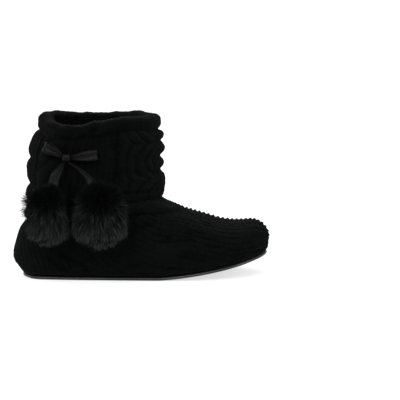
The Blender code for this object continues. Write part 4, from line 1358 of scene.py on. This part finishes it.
def strand_paths(rng, directions, way):
    """Points along each strand of fur: it stands in a lock, curls and droops."""
    count = len(directions)
    locks = unit(even_directions(LOCKS) + rng.normal(0, 0.12, (LOCKS, 3)))
    nearest = np.argmax(directions @ locks.T, axis=1)
    lock_length = rng.uniform(0.86, 1.10, LOCKS)
    lock_swing = rng.normal(0, 0.16, (LOCKS, 3))
    draw = rng.uniform(0.05, 0.60, count)[:, None]
    aim = unit(directions * (1 - draw) + locks[nearest] * draw + lock_swing[nearest] * 0.7
               + rng.normal(0, 0.07, (count, 3)))
    length = (FUR_LENGTH * (0.35 + 0.65 * pompom_share(way)) * lock_length[nearest]
              * rng.uniform(0.80, 1.08, count))
    high = step_up(directions[:, 2], 0.35, 0.90)
    low = step_up(-directions[:, 2], 0.1, 0.8)
    # One tuft sweeps out to the outer side of the pair
    swept = step_up(directions @ (TUFT * np.array([way, 1, 1])), 0.90, 0.98)
    swept = swept * (1.0 if way < 0 else 0.3)
    length = length * (1 + 0.55 * swept) * (1 + 0.30 * high)
    droop = FUR_DROOP * rng.uniform(0.6, 1.3, count) * (1 - 0.85 * low)
    droop = droop * (1 - 0.80 * high) * (1 - 0.6 * swept)
    t = np.linspace(0, 1, len(STRAND_TAPER))[:, None]
    root = pompom_centre(way) + directions * pompom_half(way) * ROOT_SHARE
    path = root[:, None] + aim[:, None] * (length[:, None, None] * t * (0.75 + 0.25 * t))
    path = path - UP * (droop[:, None, None] * t ** 2)
    path = path + rng.normal(0, 0.0007, (count, 1, 3)) * np.sin(math.pi * t * 1.3)
    # No strand reaches far past the line between the pair
    over = (path[..., 0] - bow_frame()[0][0] - POMPOM_AHEAD) * way
    path[..., 0] += np.where(over < -FUR_OVERLAP, -FUR_OVERLAP - over, 0.0) * way
    return path


def strand_frost_and_shade(rng, directions):
    """How frosted each strand is, 0 to 1: some are dark throughout, and the fur is painted darker
    towards its top, as painted shade under the bow and cuff.
    """
    count = len(directions)
    frost = np.where(rng.random(count) < 0.42, rng.uniform(0.55, 1.0, count),
                     rng.uniform(0.0, 0.3, count))
    down = -directions[:, 2]
    frost = frost * (0.28 + 0.38 * step_up(down, -0.95, -0.25) + 0.34 * step_up(down, 0.0, 0.65))
    # Strands round the ribbon's entry at the top are painted dark: painted shade under the bow
    painted_shade_at_ribbon = np.exp(-((directions[:, 2] - 0.66) / 0.20) ** 2 - (directions[:, 0] / 0.45) ** 2)
    return frost * (1 - 0.92 * painted_shade_at_ribbon * (directions[:, 1] < 0.25))


def make_fur(name, way, seed, sizes, mat):
    """The long faux fur of a pompom, each strand a tapered blade."""
    rng = np.random.default_rng(seed)
    count, rows = sizes.strand_count, len(STRAND_TAPER)
    directions = unit(even_directions(count) + rng.normal(0, 0.05, (count, 3)))
    path = strand_paths(rng, directions, way)
    side = unit(np.cross(np.gradient(path, axis=1), rng.normal(0, 1, (count, 1, 3))))
    taper = np.array(STRAND_TAPER)[:, None]
    wide = sizes.strand_width * rng.uniform(0.6, 1.15, (count, 1, 1)) * taper / 2
    points = np.stack([path - side * wide, path + side * wide], axis=2)
    first = (np.arange(count) * rows * 2)[:, None] + np.arange(rows - 1)[None, :] * 2
    faces = np.stack([first, first + 1, first + 3, first + 2], -1).reshape(-1, 4).tolist()
    along = np.linspace(0, 1, rows)[None, :, None] * np.ones((1, 1, 2))
    uvs = np.stack(np.broadcast_arrays(strand_frost_and_shade(rng, directions)[:, None, None], along), -1)
    return mesh_piece(name, points, faces, uvs, mat, merge=False)


def make_core(name, way, seed, mat):
    """The dark backing ball inside a pompom's fur."""
    centre = pompom_centre(way)
    core = start_shape(bpy.ops.mesh.primitive_uv_sphere_add, segments=36, ring_count=24, radius=1.0)
    edit_shape((bpy.ops.transform.resize, {"value": tuple(pompom_half(way) * CORE_SHARE)}),
               (bpy.ops.transform.translate, {"value": tuple(centre)}))
    rough = Noise(seed + 50)
    for vert in core.data.vertices:
        away = (vert.co - Vector(centre)).normalized()
        vert.co += away * 0.0012 * float(rough.at(away.x * 6 + 9, away.y * 6 + away.z * 7 + 9))
    set_names(core, name, mat)
    return core


class SLIPPER_OT_foot(bpy.types.Operator):
    """Model the ribbed knit of the foot and shaft, and the lining inside it"""
    bl_idname = "slipper.foot"
    bl_label = "Foot knit and lining"

    def execute(self, context):
        sizes, colours = context.scene.slipper_sizes, context.scene.slipper_colours
        finish_piece(make_foot_knit(sizes, colours), ["upper"])
        finish_piece(make_lining(colours))
        return {"FINISHED"}


class SLIPPER_OT_cuff(bpy.types.Operator):
    """Model the cable-knit cuff"""
    bl_idname = "slipper.cuff"
    bl_label = "Cable-knit cuff"

    def execute(self, context):
        sizes, colours = context.scene.slipper_sizes, context.scene.slipper_colours
        finish_piece(make_cuff_knit(sizes, colours), ["cuff"])
        return {"FINISHED"}


class SLIPPER_OT_sole(bpy.types.Operator):
    """Model the outsole with its dots and stitches, and the piping round it"""
    bl_idname = "slipper.sole"
    bl_label = "Outsole and piping"

    def execute(self, context):
        colours = context.scene.slipper_colours
        cloth = tread_material("woven_non_slip_cloth", colours.tread)
        coat, border = (coated_material(name, colours.piping)
                        for name in ("coated_piping", "coated_border"))
        finish_piece(make_outsole(cloth, border), ["outsole"])
        finish_piece(make_dots(cloth))
        finish_piece(make_piping(coat), ["sole_binding"])
        finish_piece(make_sole_stitches(coat))
        return {"FINISHED"}


class SLIPPER_OT_footbed(bpy.types.Operator):
    """Model the padded footbed"""
    bl_idname = "slipper.footbed"
    bl_label = "Footbed"

    def execute(self, context):
        pad = make_footbed(context.scene.slipper_colours)
        finish_piece(pad, ["insole"])
        return {"FINISHED"}


class SLIPPER_OT_bow(bpy.types.Operator):
    """Model the satin bow and its tails"""
    bl_idname = "slipper.bow"
    bl_label = "Satin bow"

    def execute(self, context):
        satin = satin_material("black_satin_ribbon", context.scene.slipper_colours.ribbon)
        thickness = context.scene.slipper_sizes.ribbon_thickness
        # Columns: place, way along the shoe, tilt in degrees, share of LOOP_LENGTH
        for place, way, tilt, share in (("back", -1, 27, 0.87), ("front", 1, 7, 1.10)):
            loop = make_loop("satin_loop_" + place, way, tilt, share, thickness, satin)
            finish_piece(loop, ["bow_loop_" + place])
            tail = make_tail("satin_tail_" + place, way, thickness, satin)
            finish_piece(tail, ["tail_" + place])
        finish_piece(make_knot(satin), ["bow_knot"])
        return {"FINISHED"}


class SLIPPER_OT_pompoms(bpy.types.Operator):
    """Model the two fur pompoms"""
    bl_idname = "slipper.pompoms"
    bl_label = "Fur pompoms"

    def execute(self, context):
        sizes, colours = context.scene.slipper_sizes, context.scene.slipper_colours
        mat = fur_material("frosted_faux_fur", colours.fur_root, colours.fur_tip)
        core_mat = fleece_material("fur_backing", colours.fur_root, 0.0015)
        for place, way, seed in (("back", -1, 3), ("front", 1, 8)):
            name = "pompom_" + place
            finish_piece(make_fur(name + "_fur", way, seed, sizes, mat), [name])
            finish_piece(make_core(name + "_core", way, seed, core_mat))
        return {"FINISHED"}


class SLIPPER_OT_stage(bpy.types.Operator):
    """Set out the floor, the soft studio light and the camera"""
    bl_idname = "slipper.stage"
    bl_label = "Floor, light and camera"

    def execute(self, context):
        scene = context.scene
        floor = start_shape(bpy.ops.mesh.primitive_plane_add, size=FLOOR_SIZE, location=(0, 0, 0))
        floor.name = floor.data.name = "studio_floor"
        # White acrylic over a light box, so that a thing on it casts hardly a shadow
        mat, _, _ = new_material("backlit_white_acrylic", Base_Color=(0.40, 0.40, 0.40, 1.0),
                                 Roughness=0.9, Specular_IOR_Level=0.1, Emission_Strength=0.62,
                                 Emission_Color=(*scene.slipper_colours.floor, 1.0))
        floor.data.materials.append(mat)
        scene.world = bpy.data.worlds.new("white_studio")
        scene.world.use_nodes = True
        back = scene.world.node_tree.nodes["Background"]
        back.inputs["Color"].default_value = (1.0, 1.0, 1.0, 1.0)
        back.inputs["Strength"].default_value = 1.0
        for name, place, size, power in LIGHTS:
            light = start_shape(bpy.ops.object.light_add, type="AREA", location=place)
            light.name = name
            light.data.size = size
            light.data.energy = power
            aim = Vector(LIGHTS_AIM) - Vector(place)
            light.rotation_euler = aim.to_track_quat("-Z", "Y").to_euler()
        azimuth, elevation, field = (math.radians(angle) for angle in CAMERA_ANGLES)
        way = Vector((math.sin(azimuth) * math.cos(elevation),
                      -math.cos(azimuth) * math.cos(elevation), math.sin(elevation)))
        place = Vector(CAMERA_TARGET) + way * (FIELD_WIDTH / 2 / math.tan(field / 2))
        camera = start_shape(bpy.ops.object.camera_add, location=place)
        camera.name = "photo_camera"
        camera.rotation_euler = (-way).to_track_quat("-Z", "Y").to_euler()
        camera.data.angle = field
        camera.data.clip_end = 50.0
        scene.camera = camera
        scene.view_settings.view_transform = "Standard"
        return {"FINISHED"}


STEPS = (SLIPPER_OT_stage, SLIPPER_OT_foot, SLIPPER_OT_cuff, SLIPPER_OT_sole, SLIPPER_OT_footbed,
         SLIPPER_OT_bow, SLIPPER_OT_pompoms)


class SLIPPER_PT_panel(bpy.types.Panel):
    """The slipper's steps, sizes and colours"""
    bl_idname = "SLIPPER_PT_panel"
    bl_label = "Bootie slipper"
    bl_space_type = "VIEW_3D"
    bl_region_type = "UI"
    bl_category = "Slipper"

    def draw(self, context):
        for step in STEPS:
            self.layout.operator(step.bl_idname)
        for group in (context.scene.slipper_sizes, context.scene.slipper_colours):
            for name in group.__annotations__:
                self.layout.prop(group, name)


CLASSES = (SlipperSizes, SlipperColours, *STEPS, SLIPPER_PT_panel)


def register():
    """Registers the classes and the scene's settings."""
    for cls in CLASSES:
        bpy.utils.register_class(cls)
    bpy.types.Scene.slipper_sizes = bpy.props.PointerProperty(type=SlipperSizes)
    bpy.types.Scene.slipper_colours = bpy.props.PointerProperty(type=SlipperColours)


def unregister():
    """Takes the settings and the classes away again."""
    del bpy.types.Scene.slipper_colours
    del bpy.types.Scene.slipper_sizes
    for cls in reversed(CLASSES):
        bpy.utils.unregister_class(cls)


def main():
    """Builds the whole scene, step by step."""
    register()
    for step in STEPS:
        area, name = step.bl_idname.split(".")
        getattr(getattr(bpy.ops, area), name)()


if __name__ == "__main__":
    main()
